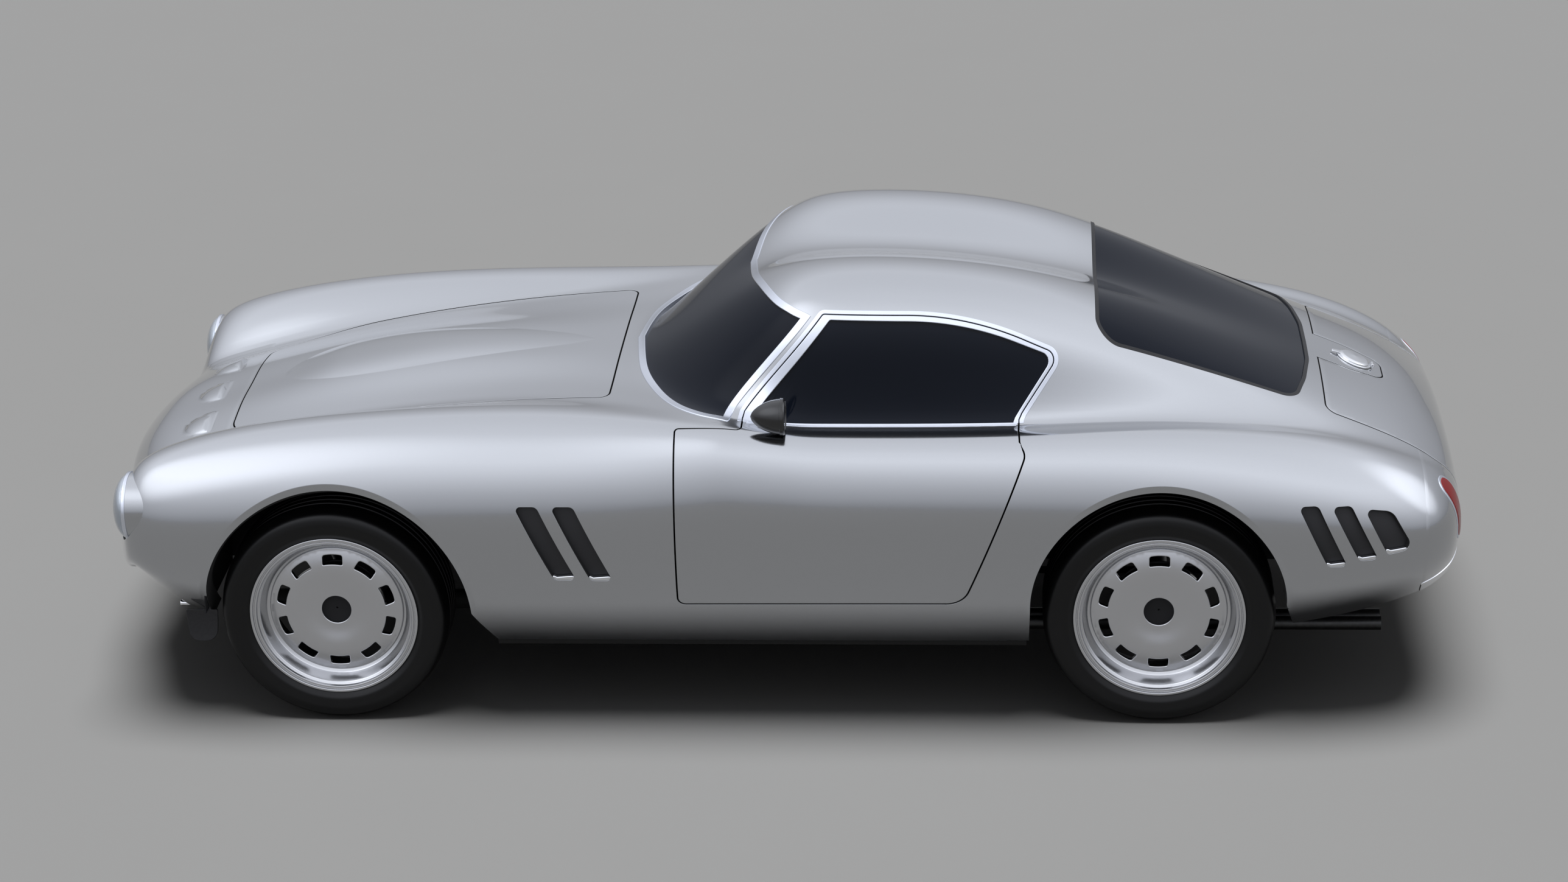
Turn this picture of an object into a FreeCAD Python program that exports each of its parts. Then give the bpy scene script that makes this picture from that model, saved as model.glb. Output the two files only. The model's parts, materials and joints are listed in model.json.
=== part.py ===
import FreeCAD, Part
import Sketcher
import math
import os

V = FreeCAD.Vector

# --------------------------------------------------------------------------
# A two-seat fastback coupe, in millimetres.  +Z is up, the nose points to -X,
# the left side is -Y, and the origin is on the ground under the middle of
# the car.  All sizes that can be set by themselves are in the sheet.
# --------------------------------------------------------------------------

SIZES = {
    # overall
    "wheelbase": 2400, "front_overhang": 722, "rear_overhang": 882,
    "half_width": 820, "roof_height": 1285,
    # wheels
    "tyre_radius": 335, "tyre_width": 228, "rim_radius": 247, "rim_width": 205,
    "wheel_offset": 640, "arch_gap_front": 57, "arch_gap_rear": 32,
    "steer_offset": 590, "disc_radius": 135, "hub_hole": 45, "spindle": 24,
    "window_radius": 163, "window_tall": 30, "window_wide": 56, "window_count": 10,
    # walls and clearances
    "side_wall": 55, "roof_wall": 30, "shut_gap": 7, "glass_thick": 6,
    "glass_inset": 4, "seat_gap": 0.4, "fit_gap": 0.3,
    # doors, hood, lid
    "door_flange": 6, "core_gap": 17,
    # lamps and small pieces
    "lamp_radius": 100, "cap_radius": 47,
    # underside
    "floor_height": 215, "floor_thick": 25, "tunnel_half": 110,
    "tunnel_rise": 190, "frame_tube": 30, "frame_half": 300,
    "pipe_radius": 21, "axle_tube": 36, "spring_half": 350,
    # cabin
    "seat_width": 470, "wheel_rim": 190, "wheel_grip": 13,
}

doc = FreeCAD.newDocument("coupe")
sheet = doc.addObject("Spreadsheet::Sheet", "sizes")
for row, (alias, value) in enumerate(SIZES.items(), start=1):
    sheet.set("A%d" % row, alias)
    sheet.set("B%d" % row, str(value))
    sheet.setAlias("B%d" % row, alias)
doc.recompute()


def size(alias):
    """The value of one named size in the sheet."""
    return float(sheet.get(alias))


# --------------------------------------------------------------------------
# The reference body: 722 + 2400 + 882 long, 820 half wide, 1285 high.
# along(), across() and up() stretch it to the sizes in the sheet.
# --------------------------------------------------------------------------

REF_BASE, REF_FRONT, REF_REAR = 2400.0, 722.0, 882.0
REF_HALF_WIDTH, REF_HEIGHT = 820.0, 1285.0
MIDDLE = (size("wheelbase") + size("rear_overhang") - size("front_overhang")) / 2
FRONT_AXLE = -MIDDLE
REAR_AXLE = size("wheelbase") - MIDDLE


def along(x):
    """Reference distance behind the front axle -> X of the car."""
    if x < 0:
        return FRONT_AXLE + x * size("front_overhang") / REF_FRONT
    if x <= REF_BASE:
        return FRONT_AXLE + x * size("wheelbase") / REF_BASE
    return REAR_AXLE + (x - REF_BASE) * size("rear_overhang") / REF_REAR


def across(y):
    return y * size("half_width") / REF_HALF_WIDTH


def up(z):
    return z * size("roof_height") / REF_HEIGHT


# --------------------------------------------------------------------------
# The skin of the whole body is one spline surface.  Each row of STATIONS is
# a cross section of its control net, from the nose to the tail:
#   x       distance behind the front axle on the centreline
#   sweep   how much further back the section stands at the belt
#   then half width and height of the sill, waist, crest of the wings, belt
#   and roof rail, and the heights of the roof crown and of the centreline
# --------------------------------------------------------------------------

COLUMNS = ("x", "sweep", "sill_y", "sill_z", "waist_y", "waist_z", "crest_y",
           "crest_z", "belt_y", "belt_z", "rail_y", "rail_z", "crown_z", "mid_z")
STATIONS = [
    (-722, 0, 230, 365, 290, 440, 240, 505, 180, 515, 120, 520, 523, 525),
    (-722, 60, 430, 352, 560, 445, 500, 540, 380, 560, 250, 572, 580, 583),
    (-690, 70, 560, 400, 670, 480, 600, 640, 430, 600, 270, 618, 630, 634),
    (-610, 12, 610, 470, 745, 520, 645, 785, 425, 660, 270, 680, 700, 704),
    (-480, 0, 635, 310, 795, 500, 635, 855, 405, 703, 270, 725, 738, 735),
    (-250, 0, 660, 260, 820, 500, 625, 910, 400, 768, 260, 790, 810, 800),
    (50, 0, 700, 250, 826, 500, 640, 940, 415, 832, 260, 855, 888, 878),
    (400, 0, 705, 245, 826, 500, 645, 950, 430, 880, 260, 890, 918, 912),
    (740, 0, 705, 245, 824, 500, 660, 938, 470, 908, 280, 908, 918, 918),
    (835, 300, 705, 245, 822, 500, 735, 905, 630, 915, 400, 905, 910, 912),
    (880, 292, 705, 245, 822, 500, 735, 902, 625, 908, 420, 925, 935, 935),
    (1180, 190, 705, 245, 822, 500, 732, 893, 612, 882, 507, 1200, 1220, 1172),
    (1410, 0, 705, 245, 822, 500, 730, 888, 608, 880, 515, 1228, 1312, 1165),
    (1750, 0, 705, 245, 822, 500, 728, 886, 606, 878, 510, 1232, 1305, 1160),
    (2080, 0, 705, 245, 825, 500, 725, 890, 600, 882, 490, 1190, 1252, 1112),
    (2400, 0, 700, 250, 828, 500, 710, 903, 580, 890, 460, 1065, 1120, 1060),
    (2850, 0, 690, 300, 815, 520, 660, 864, 540, 848, 420, 878, 902, 903),
    (3110, 0, 650, 360, 772, 530, 620, 770, 500, 756, 340, 780, 798, 801),
    (3225, 0, 590, 395, 690, 530, 560, 686, 430, 690, 280, 706, 716, 719),
    (3282, 0, 470, 430, 560, 520, 440, 620, 340, 640, 220, 655, 660, 660),
    (3282, 0, 250, 450, 290, 500, 240, 540, 180, 548, 110, 552, 554, 555),
]
WALL_NAMES = ("side",) * 6 + ("roof",) * 5


def half_section(row):
    """The half-section control points of one station, from sill to centre."""
    c = dict(zip(COLUMNS, row))
    lower = (0.3 * c["sill_y"] + 0.7 * c["waist_y"],
             0.55 * c["sill_z"] + 0.45 * c["waist_z"])
    shoulder = (c["waist_y"] - 0.12 * (c["waist_y"] - c["crest_y"]),
                0.38 * c["waist_z"] + 0.62 * c["crest_z"])
    ledge = (0.7 * c["belt_y"] + 0.3 * c["crest_y"],
             0.55 * c["belt_z"] + 0.45 * c["crest_z"])
    pane = (0.6 * c["belt_y"] + 0.4 * c["rail_y"], 0.6 * c["belt_z"] + 0.4 * c["rail_z"])
    points = [(c["sill_y"], c["sill_z"]), lower, (c["waist_y"], c["waist_z"]),
              shoulder, (c["crest_y"], c["crest_z"]), ledge,
              (c["belt_y"], c["belt_z"]), pane, (c["rail_y"], c["rail_z"]),
              (0.52 * c["rail_y"], c["crown_z"]), (0.0, c["mid_z"])]
    out = []
    for y, z in points:
        inward = min(1.0, y / c["belt_y"])
        out.append(V(along(c["x"] + c["sweep"] * inward ** 2), across(y), up(z)))
    return out


def control_net():
    """Rows of control points from the left sill over the top to the right."""
    rows = []
    for row in STATIONS:
        half = half_section(row)
        left = [V(p.x, -p.y, p.z) for p in half]
        rows.append(left + half[-2::-1])
    return rows


def moved_net(rows, walls, deepen=0.0):
    """The net moved inwards along its own normals by the wall of each column."""
    last_row, last = len(rows) - 1, len(rows[0]) - 1
    out = []
    for i, row in enumerate(rows):
        line = []
        for j, point in enumerate(row):
            du = rows[min(i + 1, last_row)][j] - rows[max(i - 1, 0)][j]
            dv = row[min(j + 1, last)] - row[max(j - 1, 0)]
            normal = dv.cross(du)
            normal.normalize()
            if i in (0, last_row):
                normal = V(1 if i == 0 else -1, 0, 0)
            moved = point + normal * (walls[-1] if normal.z == 0 else walls[min(j, last - j)])
            if j in (0, last):
                moved.z -= deepen
            line.append(moved)
        out.append(line)
    return out


def clamped(count):
    """Knots and multiplicities of a clamped cubic with this many poles."""
    inner = count - 3
    return [float(k) for k in range(inner + 1)], [4] + [1] * (inner - 1) + [4]


def skin_solid(rows):
    """The closed solid under a skin: the surface, its ends and its bottom."""
    uknots, umults = clamped(len(rows))
    vknots, vmults = clamped(len(rows[0]))
    surface = Part.BSplineSurface()
    surface.buildFromPolesMultsKnots(rows, umults, vmults, uknots, vknots,
                                     False, False, 3, 3)
    left, right = surface.vIso(vknots[0]), surface.vIso(vknots[-1])
    bottom = Part.makeRuledSurface(left.toShape(), right.toShape())
    faces = [surface.toShape(), bottom]
    for knot, row in ((uknots[0], rows[0]), (uknots[-1], rows[-1])):
        rim = surface.uIso(knot).toShape()
        chord = Part.LineSegment(row[-1], row[0]).toShape()
        faces.append(Part.Face(Part.Wire([rim, chord])))
    shell = Part.Shell(faces)
    shell.sewShape()
    solid = Part.Solid(shell)
    if solid.Volume < 0:
        solid.reverse()
    return solid


# --------------------------------------------------------------------------
# Outlines, prisms and boxes
# --------------------------------------------------------------------------

def rounded(points, place):
    """A closed wire of lines and arcs: points are (a, b, corner radius)."""
    count = len(points)
    edges, ends = [], []
    for i, (a, b, radius) in enumerate(points):
        here = place(a, b)
        before = (place(*points[i - 1][:2]) - here).normalize()
        after = (place(*points[(i + 1) % count][:2]) - here).normalize()
        if radius <= 0:
            ends.append((here, here, None))
            continue
        half = before.getAngle(after) / 2
        reach = radius / math.tan(half)
        middle = here + (before + after).normalize() * (radius / math.sin(half) - radius)
        ends.append((here + before * reach, here + after * reach, middle))
    for i, (start, stop, middle) in enumerate(ends):
        if middle is not None:
            edges.append(Part.Arc(start, middle, stop).toShape())
        following = ends[(i + 1) % count][0]
        edges.append(Part.LineSegment(stop, following).toShape())
    return Part.Wire(edges)


def in_side_view(x, z):
    return V(along(x), 0, up(z))


def in_plan(x, y):
    return V(along(x), across(y), 0)


def grown(wire, distance):
    """The wire moved outwards (or inwards, if negative) in its own plane."""
    return Part.Face(wire).makeOffset2D(distance).OuterWire


def side_prism(wire, y_from, y_to):
    face = Part.Face(wire)
    face.translate(V(0, y_from, 0))
    return face.extrude(V(0, y_to - y_from, 0))


def plan_prism(wire, z_from, z_to):
    face = Part.Face(wire)
    face.translate(V(0, 0, z_from))
    return face.extrude(V(0, 0, z_to - z_from))


def block(x0, x1, y0, y1, z0, z1):
    """A box between reference stations."""
    a, b = V(along(x0), across(y0), up(z0)), V(along(x1), across(y1), up(z1))
    return Part.makeBox(b.x - a.x, b.y - a.y, b.z - a.z, a)


def mirrored(shape):
    return shape.mirror(V(0, 0, 0), V(0, 1, 0))


def solids_of(shape, least=2000.0):
    """The shape without slivers smaller than the given volume."""
    kept = [s for s in shape.Solids if s.Volume > least]
    return kept[0] if len(kept) == 1 else Part.makeCompound(kept)


# --------------------------------------------------------------------------
# The skin, its inside and the panes
# --------------------------------------------------------------------------

NET = control_net()
WALLS = [size(name + "_wall") for name in WALL_NAMES]
OUTER = skin_solid(NET)
INNER = skin_solid(moved_net(NET, WALLS, 90.0))
CABIN = skin_solid(moved_net(NET, [w + size("fit_gap") for w in WALLS], 90.0))
SHELL = OUTER.cut(INNER)
PANE_OUT = skin_solid(moved_net(NET, [size("glass_inset")] * 11))
PANE_IN = skin_solid(moved_net(NET, [size("glass_inset") + size("glass_thick")] * 11, 60.0))
PANES = PANE_OUT.cut(PANE_IN)
TOP, BOTTOM = up(1500), 0.0
REACH = across(1100)
GAP = size("shut_gap")

# --------------------------------------------------------------------------
# Outlines of the openings, in reference millimetres
# --------------------------------------------------------------------------

DOOR = rounded([(1014, 398, 25), (1014, 845, 0), (1205, 845, 0), (1198, 904, 0),
                (1436, 1184, 14), (1860, 1171, 260), (2116, 1066, 32), (1996, 884, 25),
                (2022, 852, 36), (1838, 401, 72)], in_side_view)
DOOR_TOP = rounded([(1014, 820, 0), (1014, 1000, 0), (1300, 1000, 0), (1300, 820, 0)],
                   in_side_view)
SHOULDER_LINE = 684
DOOR_GLASS = rounded([(1232, 886, 8), (1456, 1170, 12), (1850, 1156, 260),
                      (2098, 1062, 28), (1982, 886, 10)], in_side_view)
HOOD = rounded([(-354, 335, 75), (-80, 397, 900), (802, 452, 32), (802, -452, 32),
                (-80, -397, 900), (-354, -335, 75)], in_plan)
LID = rounded([(2883, 433, 32), (3400, 433, 10), (3400, -433, 10), (2883, -433, 32)],
              in_plan)
TONGUE = rounded([(2790, 94, 0), (2975, 92, 120), (3080, 64, 40), (3080, -64, 40),
                  (2975, -92, 120), (2790, -94, 0)], in_plan)
REAR_GLASS = rounded([(2222, 478, 60), (2795, 428, 45), (2844, 150, 250),
                      (2844, -150, 250), (2795, -428, 45), (2222, -478, 60)], in_plan)
SHIELD_BASE = [(1215, 650), (1160, 628), (1080, 592), (1005, 520), (940, 400),
               (885, 235), (855, 0)]
SHIELD_HEAD = [(1450, 528), (1394, 503), (1345, 472), (1298, 414), (1256, 313),
               (1222, 177), (1204, 0)]
SHIELD_SIDE = rounded([(600, 850, 0), (1108, 850, 0), (1437, 1230, 0), (600, 1230, 0)],
                      in_side_view)


def bowed(points):
    """A smooth curve across the car through the points and their mirror images."""
    curve = Part.BSplineCurve()
    curve.interpolate([in_plan(x, y) for x, y in points + [(x, -y) for x, y in points[-2::-1]]])
    return curve.toShape()


def shield_solid(outward):
    """What the windshield cuts: bowed base and head in plan, raked sides."""
    base = bowed([(x - outward, y) for x, y in SHIELD_BASE])
    head = bowed([(x + outward, y) for x, y in SHIELD_HEAD])
    ends = [Part.LineSegment(base.Vertexes[k].Point, head.Vertexes[k].Point).toShape()
            for k in (0, -1)]
    wire = Part.Wire(Part.__sortEdges__([base, ends[0], head, ends[1]]))
    return plan_prism(wire, up(850), TOP).common(
        side_prism(grown(SHIELD_SIDE, outward), -REACH, REACH))


# --------------------------------------------------------------------------
# Document objects
# --------------------------------------------------------------------------

PIECES = []


def keep(label, shape):
    """One sub-part whose form is a spline skin cut by its outline."""
    piece = doc.addObject("Part::Feature", label)
    piece.Label = label
    piece.Shape = shape
    PIECES.append(piece)
    return piece


LID_FOOT = 520
LID_SWING = 50.5
body = SHELL

hood = SHELL.common(plan_prism(grown(HOOD, -GAP / 2), up(500), TOP))
body = body.cut(plan_prism(grown(HOOD, GAP / 2), up(500), TOP))


def pivots(x, y, z, radius, half=20):
    """A short pin along Y on each side at the axis of a lid."""
    return [Part.makeCylinder(radius, 2 * half,
                              V(along(x), side * across(y) - half, up(z)), V(0, 1, 0))
            for side in (-1, 1)]


HOOD_AXIS, LID_AXIS = (-245, 362, 760), (2925, 98, 865)
for pivot in pivots(*HOOD_AXIS, 5):
    hood = hood.fuse(pivot)
for pivot in pivots(*HOOD_AXIS, 5 + size("fit_gap"), 21):
    body = body.cut(pivot)

lid_in = plan_prism(grown(LID, -GAP / 2), up(LID_FOOT), TOP)
lid_out = plan_prism(grown(LID, GAP / 2), up(LID_FOOT) - GAP, TOP)
trunk_lid = SHELL.common(lid_in.cut(plan_prism(grown(TONGUE, GAP), 0, TOP)))
body = body.cut(lid_out.cut(plan_prism(TONGUE, 0, TOP)))
for pivot in pivots(*LID_AXIS, 4):
    trunk_lid = trunk_lid.fuse(pivot)
for pivot in pivots(*LID_AXIS, 4 + size("fit_gap"), 21):
    body = body.cut(pivot)
lid_swing = Part.makeCylinder(LID_SWING, 2 * across(433) + GAP,
                              V(along(LID_AXIS[0]), -across(433) - GAP / 2, up(LID_AXIS[2])),
                              V(0, 1, 0))
body = body.cut(lid_swing.cut(plan_prism(TONGUE, 0, TOP)))

def door_prism(shrink):
    """What lies within the door's outline, the outline made smaller all round."""
    whole = side_prism(grown(DOOR, -shrink), -REACH, -across(380))
    ledge = side_prism(grown(DOOR_TOP, -shrink), -REACH, -across(SHOULDER_LINE) - shrink)
    return whole.fuse(ledge)


FLANGE = skin_solid(moved_net(NET, [size("door_flange")] * 11, 60.0))
DOOR_AXIS = V(along(1036), -across(803), 0)
HINGE_FOOT, HINGE_TALL = up(530), 90
DOOR_SWINGS = ((820, 866, 968), (866, 898, 961))
door_cutter = side_prism(DOOR, -REACH, -across(380)).fuse(
    side_prism(DOOR_TOP, -REACH, -across(SHOULDER_LINE)))
edge_relief = Part.makeBox(20, across(812) - across(380), up(845) - up(420),
                           V(along(1009), -across(812), up(420)))
door_layer = SHELL.cut(FLANGE).common(door_prism(GAP))
door_core = SHELL.common(FLANGE).common(door_prism(size("core_gap")))
door_glass_hole = side_prism(DOOR_GLASS, -REACH, -across(380))
pocket = Part.makeBox(58, 90, HINGE_TALL + 12, V(along(1010), DOOR_AXIS.y - 6.5, HINGE_FOOT - 6))
pin = Part.makeCylinder(3, HINGE_TALL + 12, V(DOOR_AXIS.x, DOOR_AXIS.y, HINGE_FOOT - 6))
door_left = door_layer.fuse(door_core).cut(door_glass_hole).cut(pocket).fuse(pin)
for z_low, z_high, swing in DOOR_SWINGS:
    shelf_end = block(1940, 2040, -728, -560, z_low, z_high)
    swing_room = Part.makeCylinder(swing, up(z_high), V(DOOR_AXIS.x, DOOR_AXIS.y, 0))
    door_left = door_left.cut(shelf_end.cut(swing_room))
glass_left = PANES.common(side_prism(grown(DOOR_GLASS, -size("seat_gap")),
                                     -REACH, -across(380)))
body = body.cut(door_cutter).cut(mirrored(door_cutter))
body = body.cut(edge_relief).cut(mirrored(edge_relief))

body = body.cut(shield_solid(0.0))
windshield = PANES.common(shield_solid(-size("seat_gap")))
body = body.cut(plan_prism(REAR_GLASS, up(860), TOP))
rear_window = PANES.common(plan_prism(grown(REAR_GLASS, -size("seat_gap")), up(860), TOP))


def arch(axle, gap, rise, skirt):
    """The wheel opening of the left side: a round top and a flared skirt."""
    radius = size("tyre_radius") + gap
    centre = V(axle, -REACH, size("tyre_radius") + rise)
    drum = Part.makeCylinder(radius, REACH - across(420), centre, V(0, 1, 0))
    foot = [V(axle + dx, -REACH, z) for dx, z in
            ((-skirt[0], -20), (-radius, centre.z), (radius, centre.z), (skirt[1], -20))]
    wedge = Part.Face(Part.makePolygon(foot + foot[:1])).extrude(
        V(0, REACH - across(420), 0))
    return drum.fuse(wedge)


for hole in (arch(FRONT_AXLE + 20, size("arch_gap_front"), 24, (430, 600)),
             arch(REAR_AXLE - 5, size("arch_gap_rear"), 48, (375, 480))):
    body = body.cut(hole).cut(mirrored(hole))


def slot(x, z_top, z_foot, lean, width):
    """A slanted air slot through the side."""
    wire = rounded([(x, z_top, 12), (x + width, z_top, 20),
                    (x + width + lean, z_foot, 12), (x + lean, z_foot, 20)],
                   in_side_view)
    return side_prism(wire, -REACH, -across(600))


SLOTS = [slot(556, 709, 484, 108, 66), slot(661, 709, 482, 108, 66),
         slot(2783, 704, 521, 88, 57), slot(2877, 699, 537, 82, 57)]
SLOTS.append(side_prism(rounded([(2970, 688, 12), (3052, 674, 45), (3118, 560, 25),
                                 (3040, 550, 12)], in_side_view),
                        -REACH, -across(600)))
for hole in SLOTS:
    body = body.cut(hole).cut(mirrored(hole))

# the lamp holes, the air intake and the tail lamp slots
LAMP = V(along(-600), -across(648), up(646))
lamp_hole = Part.makeCylinder(size("lamp_radius"), 260, LAMP - V(120, 0, 0), V(1, 0, 0))
body = body.cut(lamp_hole).cut(mirrored(lamp_hole))
INTAKE = Part.Face(rounded([(-330, 372, 40), (330, 372, 40), (300, 470, 50),
                            (-300, 470, 50)], lambda y, z: V(0, across(y), up(z))))
INTAKE.translate(V(along(-760), 0, 0))
intake = INTAKE.extrude(V(170, 0, 0))
body = body.cut(intake)
TAIL_LAMP = Part.Face(rounded([(-585, 520, 22), (-515, 520, 22), (-515, 690, 30),
                               (-585, 690, 30)], lambda y, z: V(0, across(y), up(z))))
TAIL_LAMP.translate(V(along(3120), 0, 0))
tail_hole = TAIL_LAMP.extrude(V(300, 0, 0))
body = body.cut(tail_hole).cut(mirrored(tail_hole))

# --------------------------------------------------------------------------
# The welded panels of the body, cut where their seams run
# --------------------------------------------------------------------------

PANELS = [
    ("nose_panel", block(-900, -320, -450, 450, 0, 1400)),
    ("cowl_panel", block(760, 1500, -662, 662, 835, 1125).fuse(
        block(1014, 1300, -700, 700, 835, 1125))),
    ("roof_panel", block(1000, 2240, -700, 700, 1125, 1500).fuse(
        block(1500, 2240, -360, 360, 900, 1500))),
    ("rear_deck", block(2790, 3080, -405, 405, 600, 1400)),
    ("tail_panel", block(3150, 3500, -900, 900, 0, 1400)),
]
SIDES = [
    ("front_wing", block(-900, 1015, -1000, 0, 0, 1400)),
    ("sill", block(1015, 1790, -1000, 0, 0, 412)),
    ("rear_quarter", block(1015, 3150, -1000, 0, 0, 1400)),
]
hinge_arm = Part.makeBox(along(1036) + 4 - along(1000), 18, HINGE_TALL,
                         V(along(1000), DOOR_AXIS.y + 17, HINGE_FOOT))
hinge_eye = Part.makeCylinder(5, HINGE_TALL, V(DOOR_AXIS.x, DOOR_AXIS.y, HINGE_FOOT))
pin_hole = Part.makeCylinder(3 + size("fit_gap"), HINGE_TALL + 20,
                             V(DOOR_AXIS.x, DOOR_AXIS.y, HINGE_FOOT - 10))
neck = Part.makeBox(9, 22, HINGE_TALL, V(DOOR_AXIS.x - 5, DOOR_AXIS.y, HINGE_FOOT))
hinge = hinge_arm.fuse(hinge_eye).fuse(neck).cut(pin_hole)
rest = body
for label, cutter in PANELS:
    keep(label, solids_of(rest.common(cutter)))
    rest = rest.cut(cutter)
left_rest = rest.common(block(-900, 3500, -1000, 0, 0, 1500))
for label, cutter in SIDES:
    panel = solids_of(left_rest.common(cutter))
    left_rest = left_rest.cut(cutter)
    if label == "front_wing":
        panel = panel.fuse(hinge)
    keep(label + "_left", panel)
    keep(label + "_right", mirrored(panel))

keep("hood", solids_of(hood))
keep("trunk_lid", solids_of(trunk_lid))
keep("door_left", solids_of(door_left))
keep("door_right", mirrored(solids_of(door_left)))
keep("door_glass_left", solids_of(glass_left))
keep("door_glass_right", mirrored(solids_of(glass_left)))
keep("windshield", solids_of(windshield))
keep("rear_window", solids_of(rear_window))


# --------------------------------------------------------------------------
# Wheels: two turned bodies each, bound to the sheet
# --------------------------------------------------------------------------


def turned_body(label, profile):
    """A body revolved about its X axis; profile gives (X, radius) formulas."""
    turned = doc.addObject("PartDesign::Body", label)
    turned.Label = label
    outline = turned.newObject("Sketcher::SketchObject", label + "_profile")
    plane = [o for o in turned.Origin.OriginFeatures if o.Role == "XY_Plane"][0]
    outline.AttachmentSupport = (plane, [""])
    outline.MapMode = "FlatFace"
    spots = [V(value_of(a), value_of(r), 0) for a, r in profile]
    count = len(spots)
    for i, spot in enumerate(spots):
        outline.addGeometry(Part.LineSegment(spot, spots[(i + 1) % count]), False)
    for i in range(count):
        outline.addConstraint(Sketcher.Constraint("Coincident", i, 2, (i + 1) % count, 1))
    for i, (a, r) in enumerate(profile):
        for kind, formula in (("DistanceX", a), ("DistanceY", r)):
            if value_of(formula) == 0:
                outline.addConstraint(Sketcher.Constraint("PointOnObject", i, 1, -2))
                continue
            number = outline.addConstraint(
                Sketcher.Constraint(kind, -1, 1, i, 1, value_of(formula)))
            outline.setExpression("Constraints[%d]" % number, formula)
    spin = turned.newObject("PartDesign::Revolution", label + "_spin")
    spin.Profile = outline
    spin.ReferenceAxis = (outline, ["H_Axis"])
    spin.Angle = 360.0
    turned.Tip = spin
    doc.recompute()
    return turned


def value_of(formula):
    """A formula in sizes.<alias> terms as a number."""
    probe.setExpression("Length", "(" + formula + ") * 1 mm + 1000 mm")
    probe.recompute()
    return float(probe.Length) - 1000.0


def wheel_place(side, axle, at_y):
    """The X axis of a turned body laid along the axle, outboard to +X."""
    turn = FreeCAD.Rotation(V(0, 0, 1), 90 * side)
    return FreeCAD.Placement(V(axle, side * at_y, size("tyre_radius")), turn)


probe = doc.addObject("Part::Box", "probe")
W, R, T = "sizes.rim_width", "sizes.rim_radius", "sizes.tyre_radius"
RIM = [("0", R), ("8", R), ("8", R + " - 14"), ("58", R + " - 14"),
       ("82", R + " - 40"), (W + " - 92", R + " - 40"), (W + " - 66", R + " - 14"),
       (W + " - 8", R + " - 14"), (W + " - 8", R), (W, R), (W, R + " - 12"),
       (W + " - 12", R + " - 17"), (W + " - 14", R + " - 30"),
       (W + " - 46", R + " - 34"), (W + " - 50", R + " - 52"),
       (W + " - 40", "104"), (W + " - 40", "sizes.hub_hole"),
       (W + " - 66", "sizes.hub_hole"), (W + " - 66", "sizes.spindle + 0.5"),
       ("84", "sizes.spindle + 0.5"), ("84", "66"), ("96", "66"),
       ("96", "sizes.disc_radius"), ("108", "sizes.disc_radius"), ("108", "72"),
       (W + " - 56", "76"), (W + " - 52", "104"), (W + " - 62", R + " - 52"),
       (W + " - 70", R + " - 30"), (W + " - 88", R + " - 52"),
       ("78", R + " - 52"), ("54", R + " - 27"), ("0", R + " - 27")]
SIDEWALL = "(sizes.tyre_width - sizes.rim_width) / 2"
TYRE = [("8.3 + " + SIDEWALL, R + " - 13.7"),
        ("8.3 + " + SIDEWALL, R + " + 2"), (SIDEWALL, R + " + 6"),
        ("0", R + " + 34"), ("5", T + " - 22"), ("24", T),
        ("sizes.tyre_width - 24", T), ("sizes.tyre_width - 5", T + " - 22"),
        ("sizes.tyre_width", R + " + 34"), ("sizes.tyre_width - " + SIDEWALL, R + " + 6"),
        (W + " - 8.3 + " + SIDEWALL, R + " + 2"),
        (W + " - 8.3 + " + SIDEWALL, R + " - 13.7")]

for corner, side, axle in (("front_left", -1, FRONT_AXLE), ("front_right", 1, FRONT_AXLE),
                           ("rear_left", -1, REAR_AXLE), ("rear_right", 1, REAR_AXLE)):
    rim = turned_body("rim_" + corner, RIM)
    inner_face = size("wheel_offset") - size("rim_width") / 2
    window = rim.newObject("Sketcher::SketchObject", "window_" + corner)
    plane = [o for o in rim.Origin.OriginFeatures if o.Role == "YZ_Plane"][0]
    window.AttachmentSupport = (plane, [""])
    window.MapMode = "FlatFace"
    mid, tall, wide = size("window_radius"), size("window_tall") / 2, size("window_wide") / 2
    spots = [V(mid - tall, -wide, 0), V(mid + tall, -wide, 0),
             V(mid + tall, wide, 0), V(mid - tall, wide, 0)]
    for i in range(4):
        window.addGeometry(Part.LineSegment(spots[i], spots[(i + 1) % 4]), False)
    for i in range(4):
        window.addConstraint(Sketcher.Constraint("Coincident", i, 2, (i + 1) % 4, 1))
    for i, (a, b) in enumerate((("-", "-"), ("+", "-"), ("+", "+"), ("-", "+"))):
        for kind, formula in (
                ("DistanceX", "sizes.window_radius %s sizes.window_tall / 2" % a),
                ("DistanceY", "0 %s sizes.window_wide / 2" % b)):
            number = window.addConstraint(
                Sketcher.Constraint(kind, -1, 1, i, 1, value_of(formula)))
            window.setExpression("Constraints[%d]" % number, formula)
    before = rim.Shape.Volume
    hole = rim.newObject("PartDesign::Pocket", "opening_" + corner)
    hole.Profile = window
    hole.Type = "ThroughAll"
    hole.Reversed = True
    doc.recompute()
    ring = rim.newObject("PartDesign::PolarPattern", "openings_" + corner)
    ring.Originals = [hole]
    ring.Axis = (window, ["N_Axis"])
    ring.Occurrences = int(size("window_count"))
    ring.setExpression("Occurrences", "sizes.window_count")
    rim.Tip = ring
    doc.recompute()
    if rim.Shape.Volume > before - 1000:
        raise RuntimeError("the wheel openings cut nothing")
    rim.Placement = wheel_place(side, axle, inner_face)
    PIECES.append(rim)
    tyre = turned_body("tyre_" + corner, TYRE)
    tyre.Placement = wheel_place(side, axle, size("wheel_offset") - size("tyre_width") / 2)
    PIECES.append(tyre)
doc.removeObject("probe")

# --------------------------------------------------------------------------
# Pieces made of primitives, bound to the sheet
# --------------------------------------------------------------------------


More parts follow.
